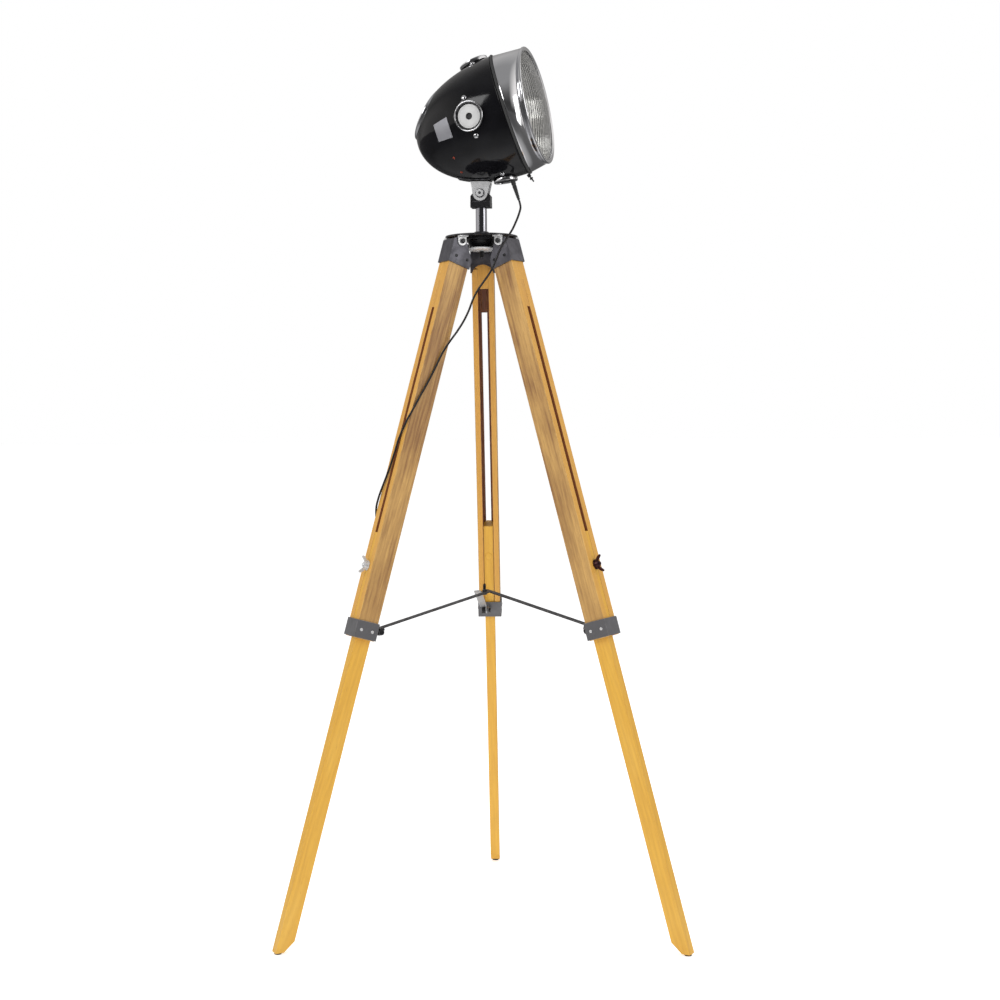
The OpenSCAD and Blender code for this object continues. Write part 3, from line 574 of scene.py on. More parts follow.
@kept
def dark_sheet(f, tone=100, share=0.0):
    at = f.place()
    mottle = f.noise(at, 55, 5, 0.62)
    grit = f.noise(at, 620, 2)
    scuffed = f.wear() * f.between(f.noise(at, 140, 3), 0.42, 0.6)
    ground = f.mix(f.between(mottle, 0.35, 0.7), tint("dark_steel"), shade(78, 77, 82))
    # tone and share pull a copy toward a flat grey. The collars get a lighter copy. The spreader arms' copies
    # are painted light: a painted highlight on the rear arm and painted shade on the front arms.
    ground = f.mix(share, ground, shade(tone, tone, tone))
    base = f.mix(scuffed * 0.55, ground, shade(176, 174, 172))
    rough = f.between(mottle, 0.3, 0.75, 0.3, 0.5) + f.between(grit, 0.55, 0.75) * 0.08
    return f.done(base=base, metal=0.7, rough=rough, normal=f.bump(grit, 0.18, 0.0003))


@kept
def dark_pole(f):
    tones = tint("pole"), shade(160, 160, 166)
    return plain(f, tones, (900, 2), None, (0.06, 0.16), (0.05, 0.0003), (1, 1, 0.02), metal=1.0)


@kept
def cast_black(f):
    at = f.place()
    cast = f.noise(at, 420, 3)
    rubbed = f.wear() * f.between(f.noise(at, 160, 3), 0.45, 0.62)
    ground = f.mix(f.noise(at, 60, 3), tint("black"), shade(27, 27, 30))
    base = f.mix(rubbed * 0.45, ground, shade(120, 120, 124))
    return f.done(base=base, rough=f.between(cast, 0.3, 0.7, 0.26, 0.42), coat=0.15,
                  normal=f.bump(cast, 0.25, 0.0004))


@kept
def satin_disc(f):
    at = f.place()
    grit = f.noise(at, 520, 3, 0.6)
    cloud = f.noise(at, 70, 3)
    base = f.mix(f.between(grit, 0.5, 0.72) * 0.4, tint("disc"), shade(176, 177, 178))
    return f.done(base=f.mix(f.between(cloud, 0.4, 0.7) * 0.3, base, shade(206, 206, 204)),
                  rough=f.between(grit, 0.3, 0.7, 0.42, 0.6), normal=f.bump(grit, 0.35, 0.0005))


@kept
def satin_metal(f):
    tones = shade(172, 172, 176), shade(144, 144, 150)
    return plain(f, tones, (180, 3), (40, 3), (0.3, 0.44), (0.1, 0.0003), (6, 1, 1), metal=0.6)


@kept
def rubber(f):
    tones = shade(18, 18, 19), shade(30, 30, 31)
    return plain(f, tones, (700, 3), (90, 2), (0.46, 0.62), (0.3, 0.0004))


@kept
def cord_sheath(f):
    return plain(f, (tint("cord"), shade(34, 31, 31)), (480, 2), (40, 2), (0.32, 0.46), (0.15, 0.0003))


@kept
# The reddish tint is a painted reflection of small pink lamps on the shell screws' heads.
def copper_head(f):
    return plain(f, (tint("copper"), shade(140, 70, 60)), (400, 3), None, (0.25, 0.4), metal=0.8)


@kept
def dark_bronze(f):
    return plain(f, (shade(44, 38, 42), shade(98, 56, 58)), (260, 3), None, (0.28, 0.45), metal=0.8)


@kept
def glass(f):
    at = f.place()
    smear = f.noise(at, 50, 3)
    return f.done(base=(0.97, 0.98, 0.98), clear=1.0, ior=1.46,
                  rough=f.between(smear, 0.45, 0.8, 0.0, 0.06))


@kept
def ceramic(f):
    tones = shade(232, 226, 212), shade(214, 206, 190)
    return plain(f, tones, (120, 3), None, (0.3, 0.45), (0.1, 0.0004))


@kept
def frosted_bulb(f):
    at = f.place()
    cloud = f.noise(at, 90, 2)
    return f.done(base=f.mix(cloud, shade(246, 246, 244), shade(228, 228, 226)), rough=0.25,
                  normal=f.bump(cloud, 0.05, 0.0004))


def metres(*lengths):
    return [at / 1000 for at in lengths]


def leg_space(f, leg):
    """Object coordinates turned and moved to a leg's own: X outward, Y across, Z up the leg."""
    back = (leg_frame(leg) @ Matrix.Scale(1000, 4)).inverted()
    return f.place(tuple(back.to_translation()), tuple(back.to_euler("XYZ")))


def growth(f, at, middle, spacing):
    """Growth rings cut lengthwise: bands round a bent core, and long streaks."""
    slow = f.drawn(at, 0.16, 26, 3, 0.55)
    moved = f.node("ShaderNodeVectorMath", {"operation": "SUBTRACT"}, {0: at, 1: middle})
    flat = f.stretch(moved, (1, 1, 0.05))
    far = f.node("ShaderNodeVectorMath", {"operation": "LENGTH"}, {0: flat}, output="Value")
    wave = f.sum("SINE", far * (math.tau / spacing) + slow * 26)
    return f.between(wave, -1, 1)


@kept
def upper_wood(f, leg):
    at = leg_space(f, leg)
    spacing = sizes()["grain_spacing"] / 1000
    x, y, z = f.axes(at)
    off = f.sum("ABSOLUTE", y)
    side = f.between(off, *metres(LEG_W / 2 - 0.9, LEG_W / 2 - 0.4))
    # The slot mask takes the inner walls below the head block. There a darker reddish brown is painted as
    # shade.
    slot = f.between(off, *metres(SLOT_W / 2 + 0.9, SLOT_W / 2 + 0.4))
    slot = slot * f.between(x, *metres(RAIL_OUT - 0.3, RAIL_OUT - 0.7))
    slot = slot * f.between(z, *metres(-BLOCK_LEN, -BLOCK_LEN - 1.5))
    band = growth(f, at, (0.006, 0.031, 0), spacing)
    streak = f.drawn(at, 0.03, 260, 4, 0.6)
    pores = f.drawn(at, 0.05, 1500, 2)
    blotch = f.drawn(at, 0.22, 30, 4, 0.6)
    near_collar = f.between(z, -0.56, -0.68)
    gold = f.mix(f.between(streak, 0.35, 0.7) * 0.45, tint("upper_wood"), shade(184, 130, 50))
    dark = f.between(blotch, 0.38, 0.62) * 0.6 + f.between(streak, 0.42, 0.66) * 0.45 + band * 0.16
    sided = f.mix(dark * (1 - near_collar * 0.5), tint("side_wood"), tint("grain"))
    base = f.mix(side, gold, sided)
    # Painted shade on the slot walls.
    base = f.mix(slot, base, f.mix(streak, tint("slot_wood"), shade(128, 74, 46)))
    base = f.mix(f.between(pores, 0.6, 0.72) * 0.4, base, shade(112, 72, 40))
    worn = f.wear() * f.between(f.noise(at, 60, 3), 0.45, 0.65)
    base = f.mix(worn * 0.35, base, shade(222, 182, 104))
    rough = f.between(streak, 0.3, 0.7, 0.36, 0.52)
    grain_of = streak * 0.5 + pores * 0.35 + band * 0.15
    return f.done(base=base, rough=rough, coat=0.12, coat_rough=0.25, normal=f.bump(grain_of, 0.35, 0.0006))


@kept
def lower_wood(f, leg):
    at = leg_space(f, leg)
    spacing = sizes()["grain_spacing"] / 1000
    band = growth(f, at, (0.02, -0.024, 0), spacing * 1.3)
    streak = f.drawn(at, 0.03, 240, 4, 0.6)
    pores = f.drawn(at, 0.05, 1500, 2)
    blotch = f.drawn(at, 0.2, 24, 3)
    base = f.mix(f.between(streak, 0.38, 0.7) * 0.5, tint("lower_wood"), shade(192, 138, 38))
    base = f.mix(f.between(blotch, 0.5, 0.75) * 0.4, base, shade(224, 182, 84))
    base = f.mix(band * 0.14, base, shade(172, 118, 36))
    base = f.mix(f.between(pores, 0.62, 0.72) * 0.3, base, shade(150, 98, 36))
    rough = f.between(streak, 0.3, 0.7, 0.34, 0.5)
    return f.done(base=base, rough=rough, coat=0.15, coat_rough=0.22,
                  normal=f.bump(streak * 0.6 + pores * 0.4, 0.3, 0.0005))


# ---------------------------------------------------------------- cord
DROP = [
    (66, -13.5, 1215.5), (64.2, -18, 1207.4), (61.2, -23.5, 1198.3), (56.8, -32, 1187.4), (51.9, -40.5, 1176.5),
    (46.2, -48, 1166.6), (40.1, -55, 1156.8), (33.8, -61, 1146.3), (28.3, -64.5, 1135.3), (24, -65.4, 1124.6),
    (19, -64.8, 1112.6), (12.4, -62.6, 1101), (3, -60, 1088), (-7, -59, 1074), (-15, -58, 1059),
    (-22, -58, 1041), (-31, -58, 1023), (-42, -58, 1006)]
ON_UPPER = [
    (-26.5, 32.6, -150), (-20.5, 27, -169), (-14.5, 23.5, -190), (-9.5, 22, -215), (-3, 21.9, -242),
    (5, 21.9, -270), (11, 21.9, -292), (13.8, 21.1, -303), (14.9, 18.5, -310), (15, 12.5, -322),
    (15, 3, -346), (15, 0, -371), (15, -4.5, -397), (15, -11, -420), (15, -17, -441),
    (14.2, -20.2, -456), (12.6, -21.6, -466), (9, -21.9, -478), (3.5, -21.8, -492), (-2, -21.7, -510),
    (-5.2, -21.6, -532), (-6, -21.6, -560), (-6, -21.6, -620), (-6, -22.4, -632), (-6, -23.7, -645),
    (-6, -23.8, -662)]
ON_LOWER = [
    (-6, -23.8, -690), (-6.5, -21.5, -730), (-7.4, -16, -790), (-8.2, -12.2, -860), (-8.5, -11.1, -940),
    (-8.5, -11.1, -1040), (-8.5, -11.1, -1150)]
ON_FLOOR = [(-329, -154, 28), (-332, -148, 17), (-334, -140, 9.5), (-336, -131, 6.5), (-337, -122, 6.6)]
PLUG_AT, PLUG_TURN = (-338, -110, 7), 91.5
SPLITS = 4, 7  # the points where the cord changes from the swivel's to the pole's and the hub's
CLIP_AFTER = 5  # points from the collar to the lower leg's first clip


def route():
    """The cord's points in the row frame, in metres, from the gland to the plug."""
    leg, shell = leg_frame("left"), shell_frame()
    tip = -shell_at(GLAND_BACK) - GLAND_LEN
    way = turn(PLUG_TURN, "Z") @ Vector((1, 0, 0))
    points = [shell @ Vector((-GLAND_BACK, 0, tip - out)) for out in (0, 6)]
    points += [ROW @ Vector(p) for p in DROP]
    points += [leg @ Vector(p) for p in ON_UPPER + ON_LOWER]
    points += [ROW @ Vector(p) for p in ON_FLOOR]
    return points + [ROW @ (Vector(PLUG_AT) - 6 * way), ROW @ Vector(PLUG_AT)]


def smoothed(points, first, last, steps=6):
    """A smooth line through part of the route."""
    line = []
    for i in range(first, last):
        a, b, c, d = (points[min(max(k, 0), len(points) - 1)] for k in (i - 1, i, i + 1, i + 2))
        for k in range(steps):
            t = k / steps
            line.append(0.5 * (2 * b + (c - a) * t + (2 * a - 5 * b + 4 * c - d) * t * t
                               + (3 * b - a - 3 * c + d) * t ** 3))
    return line + [points[last]]


def sheathed(name, line, radius):
    """A round tube along a line, as a mesh."""
    curve = bpy.data.curves.new(name, "CURVE")
    curve.dimensions, curve.bevel_depth, curve.bevel_resolution = "3D", radius, 3
    curve.use_fill_caps = True
    spline = curve.splines.new("POLY")
    spline.points.add(len(line) - 1)
    for point, at in zip(spline.points, line):
        point.co = (*at, 1)
    bare = linked(name, curve)
    bpy.context.view_layer.update()
    data = bpy.data.meshes.new_from_object(bare.evaluated_get(bpy.context.evaluated_depsgraph_get()))
    bpy.data.objects.remove(bare)
    bpy.data.curves.remove(curve)
    data.name = name
    for face in data.polygons:
        face.use_smooth = True
    data.materials.clear()
    data.materials.append(cord_sheath())
    return linked(name, data)


# The camera fitted to the photo: its place in metres, its axes, and its focal length in frame widths
EYE, FOCAL = (0, -2.8039, 0.8618), 1.6481
FORWARD, RIGHT = (0.01073, 0.99872, -0.04952), (0.99991, -0.01114, -0.00783)
HEAD_SHIFT = 1.4 / 1648.1  # the head sits this much to the right of the legs' own fit
# Each light's name, place, aim, width, height and power, and whether the gloss mirrors it
LIGHTS = (
    ("key", (-2.6, -2.4, 2.7), (0, 0, 0.9), 1.6, 1.6, 44, True),
    ("fill", (2.9, -1.7, 1.9), (0, 0, 0.9), 1.2, 2.0, 22, True),
    ("top", (0.2, 0.6, 3.4), (0, 0, 0.8), 2.2, 2.2, 26, False),
    ("back", (-0.6, 3.0, 2.0), (0, 0, 1.0), 2.0, 1.4, 14, False),
)


class LAMP_OT_stage(bpy.types.Operator):
    """Adds the floor, the lights, the surroundings and the camera"""

    bl_idname = "lamp.stage"
    bl_label = "Stage"

    def execute(self, context):
        part = bmesh.new()
        bmesh.ops.create_circle(part, cap_ends=True, segments=96, radius=60)
        data = bpy.data.meshes.new("floor")
        part.to_mesh(data)
        part.free()
        floor = linked("floor", data)
        f = Finish("pale floor")
        at = f.place()
        mirrored = Signal(f, f.node("ShaderNodeLightPath").socket.node.outputs["Is Glossy Ray"])
        far = f.node("ShaderNodeVectorMath", {"operation": "LENGTH"}, {0: at}, output="Value")
        dim = f.ramp(f.between(far, 0.0, 4.0), (0.05, 0.62), (0.2, 0.3), (0.6, 0.06))
        base = f.mix(f.noise(at, 3, 2) * 0.1, tint("floor"), shade(240, 240, 240))
        glow = f.mix(mirrored, (1, 1, 1), dim)
        data.materials.append(f.done(base=f.mix(mirrored, base, dim), rough=0.6, glow=glow, glow_strength=0.42))
        for name, place, aim, wide, high, power, mirrored in LIGHTS:
            lamp = bpy.data.lights.new(name, "AREA")
            lamp.shape, lamp.size, lamp.size_y, lamp.energy = "RECTANGLE", wide, high, power
            made = linked(name, lamp)
            made.location = place
            made.rotation_euler = (Vector(aim) - Vector(place)).to_track_quat("-Z", "Y").to_euler()
            made.visible_glossy = mirrored
        surround(context.scene)
        camera = bpy.data.cameras.new("camera")
        camera.sensor_width, camera.lens = 36, 36 * FOCAL
        camera.clip_end = 200
        eye = linked("camera", camera)
        forward, right = Vector(FORWARD).normalized(), Vector(RIGHT)
        right = (right - forward * right.dot(forward)).normalized()
        forward, right = forward - right * HEAD_SHIFT, right + forward * HEAD_SHIFT
        forward.normalize()
        right.normalize()
        up = right.cross(forward)
        eye.matrix_world = shift(*EYE) @ Matrix((right, up, -forward)).transposed().to_4x4()
        context.scene.camera = eye
        context.scene.view_settings.view_transform = "Standard"
        return {"FINISHED"}


def surround(scene):
    """White where it is seen, an even pale light on the wood, and a darker room in the gloss."""
    world = bpy.data.worlds.new("studio")
    world.use_nodes = True
    scene.world = world
    tree = world.node_tree
    f = Nodes(tree)
    rays = f.node("ShaderNodeLightPath").socket.node
    seen, soft = (Signal(f, rays.outputs[name]) for name in ("Is Camera Ray", "Is Diffuse Ray"))
    x, y, z = f.axes(f.node("ShaderNodeTexCoord", output="Generated"))
    room = f.ramp(z, (0.0, 0.1), (0.06, 0.05), (0.3, 0.04), (0.55, 0.12), (0.8, 0.3))
    left = f.between(x, -0.66, -0.9) * 0.85
    right = f.between(x, 0.45, 0.75) * f.between(z, 0.12, 0.4)
    beside = f.sum("MAXIMUM", left, f.sum("MAXIMUM", right, f.between(x, 0.8, 0.95) * 0.7))
    beyond = f.between(y, 0.05, 0.6) * 0.3
    room = f.mix(f.sum("MAXIMUM", beside, beyond), room, (0.92, 0.9, 0.88))
    tone = f.mix(soft, room, (0.78, 0.78, 0.79))
    back = tree.nodes["Background"]
    f.feed(back.inputs["Color"], f.mix(seen, tone, (1.0, 1.0, 1.0)))
    back.inputs["Strength"].default_value = 1.0


class LAMP_OT_cord(bpy.types.Operator):
    """Adds the cord from the gland down the left leg, with its clips and plug"""

    bl_idname = "lamp.cord"
    bl_label = "Cord"

    def execute(self, context):
        points, thick = route(), sizes()["cord_d"] / 1000
        top = 2 + len(DROP)
        low = top + len(ON_UPPER) - 1
        clip, end = low + CLIP_AFTER, len(points) - 1
        by_swivel, by_hub = SPLITS
        stretches = [
            ("cord_at_head", 0, by_swivel, ("head", "swivel"), "cord_drop"),
            ("cord_at_pole", by_swivel, by_hub, ("swivel", "hub"), "cord_drop"),
            ("cord_at_hub", by_hub, top, ("hub", "left_upper"), "cord_drop"),
            ("cord_on_upper", top, low, ("left_upper",), "cord_leg"),
            ("cord_between", low, clip, ("left_upper", "left_lower"), "cord_foot"),
            ("cord_on_lower", clip, end, ("left_lower",), "cord_foot"),
        ]
        plug = self.plug()
        for name, first, last, bodies, node in stretches:
            line = smoothed(points, first, last)
            made = sheathed(name, line, thick / 2)
            if len(bodies) == 2:
                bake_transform(made, *bodies, start=points[first], end=points[last])
            else:
                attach(made, bodies[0])
            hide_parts(node)
            long = sum((b - a).length for a, b in zip(line, line[1:]))
        for node, body in (("cord_clips", "left_upper"), ("foot_clips", "left_lower")):
            rounded(node + "_moulded", node, leg_frame("left"), (0.3, 35), body, "cord", rubber())
        return {"FINISHED"}

    def plug(self):
        """A small two-pin plug lying on the floor."""
        r = sizes()["cord_d"] / 2
        made = Piece("plug_body", ROW @ shift(*PLUG_AT) @ turn(PLUG_TURN, "Z"))
        relief = [(r + 0.1, 0), (r + 0.6, 0)]
        for i in range(5):
            relief += [(r + 1.0 + 0.35 * i, 0.8 + 2 * i), (r + 0.7 + 0.35 * i, 1.6 + 2 * i)]
        made.add(lathe(relief + [(3.9, 11), (r + 0.1, 11)], 24), AXIS_X)
        made.add(ease(carved("plug", made.place), 0.8, 35, 3))
        return made.done("left_lower", ["plug"], "cord", rubber())


class LAMP_OT_shell(bpy.types.Operator):
    """Adds the shell with its rolled rim, its small screws, the saddle and the blank plate"""

    bl_idname = "lamp.shell"
    bl_label = "Shell"

    def execute(self, context):
        s = sizes()
        radius, long = s["shell_r"], s["shell_len"]
        profile = [(radius, 0.0)]
        for i in range(1, 73):
            a = math.pi / 2 * i / 72
            profile.append((radius * math.cos(a), -long * math.sin(a)))
        skin = lathe(profile, 144, closed=False)
        bmesh.ops.transform(skin, matrix=AXIS_X, verts=skin.verts)
        opening = (shell_frame().inverted() @ rear_frame()).inverted()
        hole = s["rear_r"] - 2
        gone = []
        for face in skin.faces:
            at = opening @ face.calc_center_median()
            if at.z > -40 and math.hypot(at.x, at.y) < hole:
                gone.append(face)
        bmesh.ops.delete(skin, geom=gone, context="FACES")
        edge = {v for e in skin.edges if e.is_boundary for v in e.verts if v.co.x < -10}
        for vert in edge:
            at = opening @ vert.co
            grow = hole / math.hypot(at.x, at.y)
            vert.co = opening.inverted() @ Vector((at.x * grow, at.y * grow, at.z))
        at, paint = shell_frame(), gloss_paint()
        made = single("shell_skin", at, skin, "head", ["headlamp_shell"], "shell", paint, crease=60)
        walled(made, s["shell_wall"])
        rolled = [(radius - 1.4 + 2.1 * math.cos(a), -1.6 + 1.5 * math.sin(a))
                  for a in (math.tau * i / 16 for i in range(16))]
        single("shell_rim", at @ AXIS_X, lathe(rolled, 144), "head", [], "shell", paint, crease=60)
        # The screw heads' reddish tint is a painted reflection of small pink lamps.
        screws = Piece("shell_screws", ROW)
        dome = [(0, -1), (2.4, -1), (2.4, 0.5), (1.9, 1.1), (1.0, 1.35), (0.9, 0.8), (0, 0.8)]
        for around, back in SHELL_SCREWS:
            screws.add(turned(dome, 20), ROW.inverted() @ port_frame(around, back))
        screws.done("head", [], "fastener", copper_head())
        rounded("saddle_strap", "saddle", at, (0.7, 35, 3), "head", "black_metal", cast_black(), crease=30)
        badge = Piece("blank_badge", at)
        badge.add(ease(carved("blank_plate", at), 0.25, 40, 2))
        stud = [(0, 0.3), (1.5, 0.3), (1.5, 1.1), (0.9, 1.5), (0, 1.6)]
        for around, back in BADGE_STUDS:
            badge.add(turned(stud, 16), at.inverted() @ port_frame(around, back))
        badge.done("head", ["blank_plate"], "satin_plate", satin_metal(), crease=30)
        return {"FINISHED"}


class LAMP_OT_ring(bpy.types.Operator):
    """Adds the chrome trim ring, its gasket and its clamp screw"""

    bl_idname = "lamp.ring"
    bl_label = "Trim ring"

    def execute(self, context):
        s = sizes()
        to_shell = shell_frame().inverted() @ ring_frame()
        band, loops = started(), []
        lip, rolled = shift(GASKET_T + 0.1, 0, 0), shift(GASKET_T + 3.2, 0, 0)
        front = to_shell @ shift(-2.4, 0, 0)
        for radius, at in ((RING_BACK + 0.9, lip), (RING_BACK + 0.2, rolled), (RING_FRONT, front)):
            before = set(band.edges)
            bmesh.ops.create_circle(band, segments=180, radius=radius, matrix=at @ AXIS_X)
            loops.append([e for e in band.edges if e not in before])
        bmesh.ops.bridge_loops(band, edges=loops[0] + loops[1])
        bmesh.ops.bridge_loops(band, edges=loops[1] + loops[2])
        bmesh.ops.recalc_face_normals(band, faces=band.faces)
        walled(single("trim_band", shell_frame(), band, "head", ["trim_ring"], "chrome", chrome()), RING_T)
        outer, inner = RING_FRONT + 1.5, LENS_R - 2
        profile = [(inner, -1), (inner, 0.2), (inner + 1.5, 1.0)]
        profile += arc(outer - 2.6, -0.4, 2.6, 2.5, 100, -120, -20)
        bead = lathe(profile + [(LENS_R, -3), (LENS_R, -1)], 180)
        single("trim_bead", ring_frame() @ AXIS_X, bead, "head", [], "chrome", chrome())
        r = s["shell_r"]
        seal = [(r - 5, 0.1), (r + 0.9, 0.1), (r + 1.7, 0.6), (r + 2, 1.5), (r + 2, 2.6), (r + 1.6, 3.5),
                (r + 0.9, 4), (r - 5, 4)]
        at = shell_frame() @ AXIS_X
        single("gasket_ring", at, lathe(seal, 144), "head", ["shell_gasket"], "rubber", rubber())
        at = shell_frame() @ shift(-1.5, 0, -r - 2.6) @ turn(-20, "Y") @ turn(180, "X")
        screw = Piece("clamp_screw", at)
        screw.add(ease(block(-3, 3, -3.5, 3.5, 0.3, 5.3), 0.8))
        screw.add(thread(1.5, 2, 16, 20))
        screw.add(hexagon(3.4, 8, 10.5))
        screw.done("head", ["rim_screw"], "fastener", cast_black())
        return {"FINISHED"}


class LAMP_OT_optics(bpy.types.Operator):
    """Adds the fluted lens, the reflector, the bulb and its holder"""

    bl_idname = "lamp.optics"
    bl_label = "Lens and reflector"

    def execute(self, context):
        s = sizes()
        flat = LENS_R - LENS_FLAT
        rise, pitch, deep = s["lens_rise"], s["flute_pitch"], s["flute_depth"]

        def front_of(radius):
            return LENS_FRONT + rise * (1 - (min(radius, flat) / flat) ** 2)

        part = started()
        bmesh.ops.create_grid(part, x_segments=LENS_CELLS, y_segments=LENS_CELLS, size=LENS_R)
        outside = [v for v in part.verts if v.co.xy.length > LENS_R - 0.4]
        bmesh.ops.delete(part, geom=outside, context="VERTS")
        for vert in part.verts:
            if vert.is_boundary:
                vert.co.xy = vert.co.xy.normalized() * LENS_R
        made = bmesh.ops.extrude_face_region(part, geom=list(part.faces))["geom"]
        under = {v for v in made if isinstance(v, bmesh.types.BMVert)}
        for vert in part.verts:
            radius = vert.co.xy.length
            height = front_of(radius)
            if vert in under:
                fade = min(1, max(0, (flat - radius) / 4))
                height -= LENS_T + fade * deep * (1 - abs(math.sin(math.pi * vert.co.y / pitch)) ** 0.7)
            vert.co.z = height
        bmesh.ops.recalc_face_normals(part, faces=part.faces)
        at = ring_frame() @ AXIS_X
        single("lens_glass", at, part, "head", ["lens"], "lens", glass())
        back = LENS_FRONT - LENS_T - 0.3
        bowl = [(BOWL_NECK + (BOWL_R - BOWL_NECK) * i / 40) for i in range(40, -1, -1)]
        inside = [(r, back - BOWL_DEEP + BOWL_DEEP * (r / BOWL_R) ** 2) for r in bowl]
        outside = [(r, z - BOWL_T) for r, z in reversed(inside)]
        profile = [(LENS_R, back), *inside, *outside, (LENS_R, back - BOWL_T)]
        single("reflector_bowl", at, lathe(profile, 128), "head", ["reflector"], "reflector", mirror_bowl())
        line = [(0, 18)] + arc(0, 0, 18, 18, 85, -55, -5) + [(9.6, -18), (9, -22), (9, -36), (0, -36)]
        globe = turned(line, 48)
        at_bulb = ring_frame() @ shift(-BULB_BACK, 0, 0) @ AXIS_X
        single("bulb_glass", at_bulb, globe, "head", ["bulb"], "bulb", frosted_bulb())
        rounded("holder_ceramic", "lamp_holder", at, (0.5, 35), "head", "holder", ceramic())
        return {"FINISHED"}


def ports():
    s = sizes()
    return {"near": (90, 56, s["port_r"]), "far": (-90, 56, s["port_r"]), "top": (0, 31, s["port_r"]),
            "low": (180, 40, s["low_port_r"])}


class LAMP_OT_ports(bpy.types.Operator):
    """Adds the bezels, the satin discs and the dome rivets of the four ports"""

    bl_idname = "lamp.ports"
    bl_label = "Ports"

    def execute(self, context):
        bezels = Piece("port_rings", ROW)
        discs = Piece("port_faces", ROW)
        rivets = Piece("port_studs", ROW)
        shell = shell_frame()
        for name, (around, back, r) in ports().items():
            at = ROW.inverted() @ port_frame(around, back)
            ring = [(r - 2.2, 1), (r - 2.2, 0.4), (r - 0.1, 0.4), (r, 1), (r, 4)]
            bezels.add(lathe(ring + arc(r - 1.2, 4.6, 1.2, 1.3, 15, 180), 96), at)
            seat = [(r - 4.5, -6), (r - 3, -6), (r - 3, 0.4), (r - 2.25, 0.4), (r - 2.25, 2.6), (r - 3, 3.2),
                    (r - 4.5, 3)]
            bezels.add(lathe(seat, 96), at, 1)
            edge = r - 5.6
            centre = [(0, 0.3), (5.3, 0.3), (5.3, 1.3), (4.6, 1.9), (3.2, 1.9), (2.8, 1.2), (0, 1.1)]
            face = [(5.5, 1), (6.5, -1), (edge, -1), (edge, 2.0), (edge - 0.5, 2.4), (edge - 2.2, 2.55),
                    (edge - 2.6, 2.25), (edge - 3.2, 2.25), (edge - 3.6, 2.6), (8.6, 3.1), (7.6, 3.2),
                    (6.3, 3.1), (5.6, 2.6)]
            discs.add(lathe(face, 72), at, 1 if name == "low" else 0)
            if name != "low":
                discs.add(turned(centre, 32), at, 1)
            for side in (-1, 1):
                about = side * math.degrees((r + 8) / shell_at(back))
                beside = ROW.inverted() @ shell @ turn(about, "X") @ shell.inverted() @ port_frame(around, back)
                head = [(0, -0.2), (4.5, 0.1), (4.5, 0.5)] + arc(0, 0.5, 4.5, 2.8, 15, 90)
                rivets.add(turned(head + [(0, 3.3)], 32), beside)
        bezels.done("head", ["port_bezels"], "chrome", chrome(), cast_black(), crease=50, weighted=False)
        discs.done("head", ["port_discs"], "satin_plate", satin_disc(), cast_black(), crease=35, weighted=False)
        rivets.done("head", ["port_rivets"], "chrome", chrome(), crease=50, weighted=False)
        return {"FINISHED"}


class LAMP_OT_rear(bpy.types.Operator):
    """Adds the large bezel at the back and its dark cover"""

    bl_idname = "lamp.rear"
    bl_label = "Rear cover"

    def execute(self, context):
        r = sizes()["rear_r"]
        ring = [(r - 5, -17.5), (r, -17.5), (r, -11.2)] + arc(r - 2.4, -11.2, 2.4, 2.3, 15, 180)
        bezel = lathe(ring + [(r - 5, -12)], 128)
        single("rear_ring", rear_frame(), bezel, "head", ["rear_bezel"], "dark_gloss", chrome())
        inner, rise = r - 5.2, 13
        dome = [(inner * i / 32, -13 + rise * (1 - (i / 32) ** 2)) for i in range(33)]
        groove = [(x, z - (0.7 if 0.70 < x / inner < 0.76 else 0)) for x, z in dome]
        cover = turned(groove + [(inner, -15.5)] + [(x, z - 2.5) for x, z in reversed(dome[:-1])], 96)
        single("rear_dome", rear_frame(), cover, "head", ["rear_cover"], "dark_gloss", gloss_paint(), crease=35)
        return {"FINISHED"}


class LAMP_OT_gland(bpy.types.Operator):
    """Adds the ribbed strain relief of the cord"""

    bl_idname = "lamp.gland"
    bl_label = "Gland"

    def execute(self, context):
        r = sizes()["cord_d"] / 2
        at = shell_frame() @ shift(-GLAND_BACK, 0, -shell_at(GLAND_BACK)) @ turn(180, "X")
        line = [(0, -8), (3.9, -8), (3.9, 12.5), (3.6, 13.4), (3.3, 13.9), (3.3, 15)]
        for i in range(GLAND_RIBS):
            z = 16.0 + RIB_PITCH * i
            here = 3.75 - 0.14 * i
            line += [(here, z), (here, z + 1.4), (here - 0.65, z + 1.7), (here - 0.65, z + 2.4)]
        line += [(r + 0.9, GLAND_LEN - 0.4), (r + 0.5, GLAND_LEN), (0, GLAND_LEN)]
        single("gland_relief", at, turned(line, 32), "head", ["cord_gland"], "rubber", rubber(), crease=30)
        return {"FINISHED"}


class LAMP_OT_bracket(bpy.types.Operator):
    """Adds the U bracket under the shell and its tilt bolt"""

    bl_idname = "lamp.bracket"
    bl_label = "Bracket"

    def execute(self, context):
        at = bracket_frame()
        rounded("bracket_sheet", "bracket", at, (0.5, 35, 2), "head", "bright_steel", bright_steel())
        reach = BRACKET_GAP / 2 + BRACKET_T
        bolt = Piece("tilt_fastener", at)
        bolt.add(rod(TILT_BOLT_R, -reach - 1, reach + 5.6, 32), ACROSS)
        bolt.add(thread(TILT_BOLT_R, reach + 5.4, reach + 7), ACROSS)
        inner = TILT_BOLT_R + 0.05
        bolt.add(hexagon(NUT_R, -reach - 5, -reach - 0.9), ACROSS)
        bolt.add(ease(rod(2.4, -reach - 5.4, -reach - 4.9, 24), 0.2), ACROSS, 1)
        bolt.add(hexagon(NUT_R, reach + 1, reach + 5.5), ACROSS)
        washer = [(inner, GAP), (WASHER_R, GAP), (WASHER_R, 0.9), (inner, 0.9)]
        for side in (-1, 1):
            bolt.add(lathe([(r, side * (reach + z)) for r, z in washer], 40), ACROSS, 1)
        bolt.done("head", ["tilt_bolt"], "fastener", bright_steel(), dark_sheet())
        return {"FINISHED"}


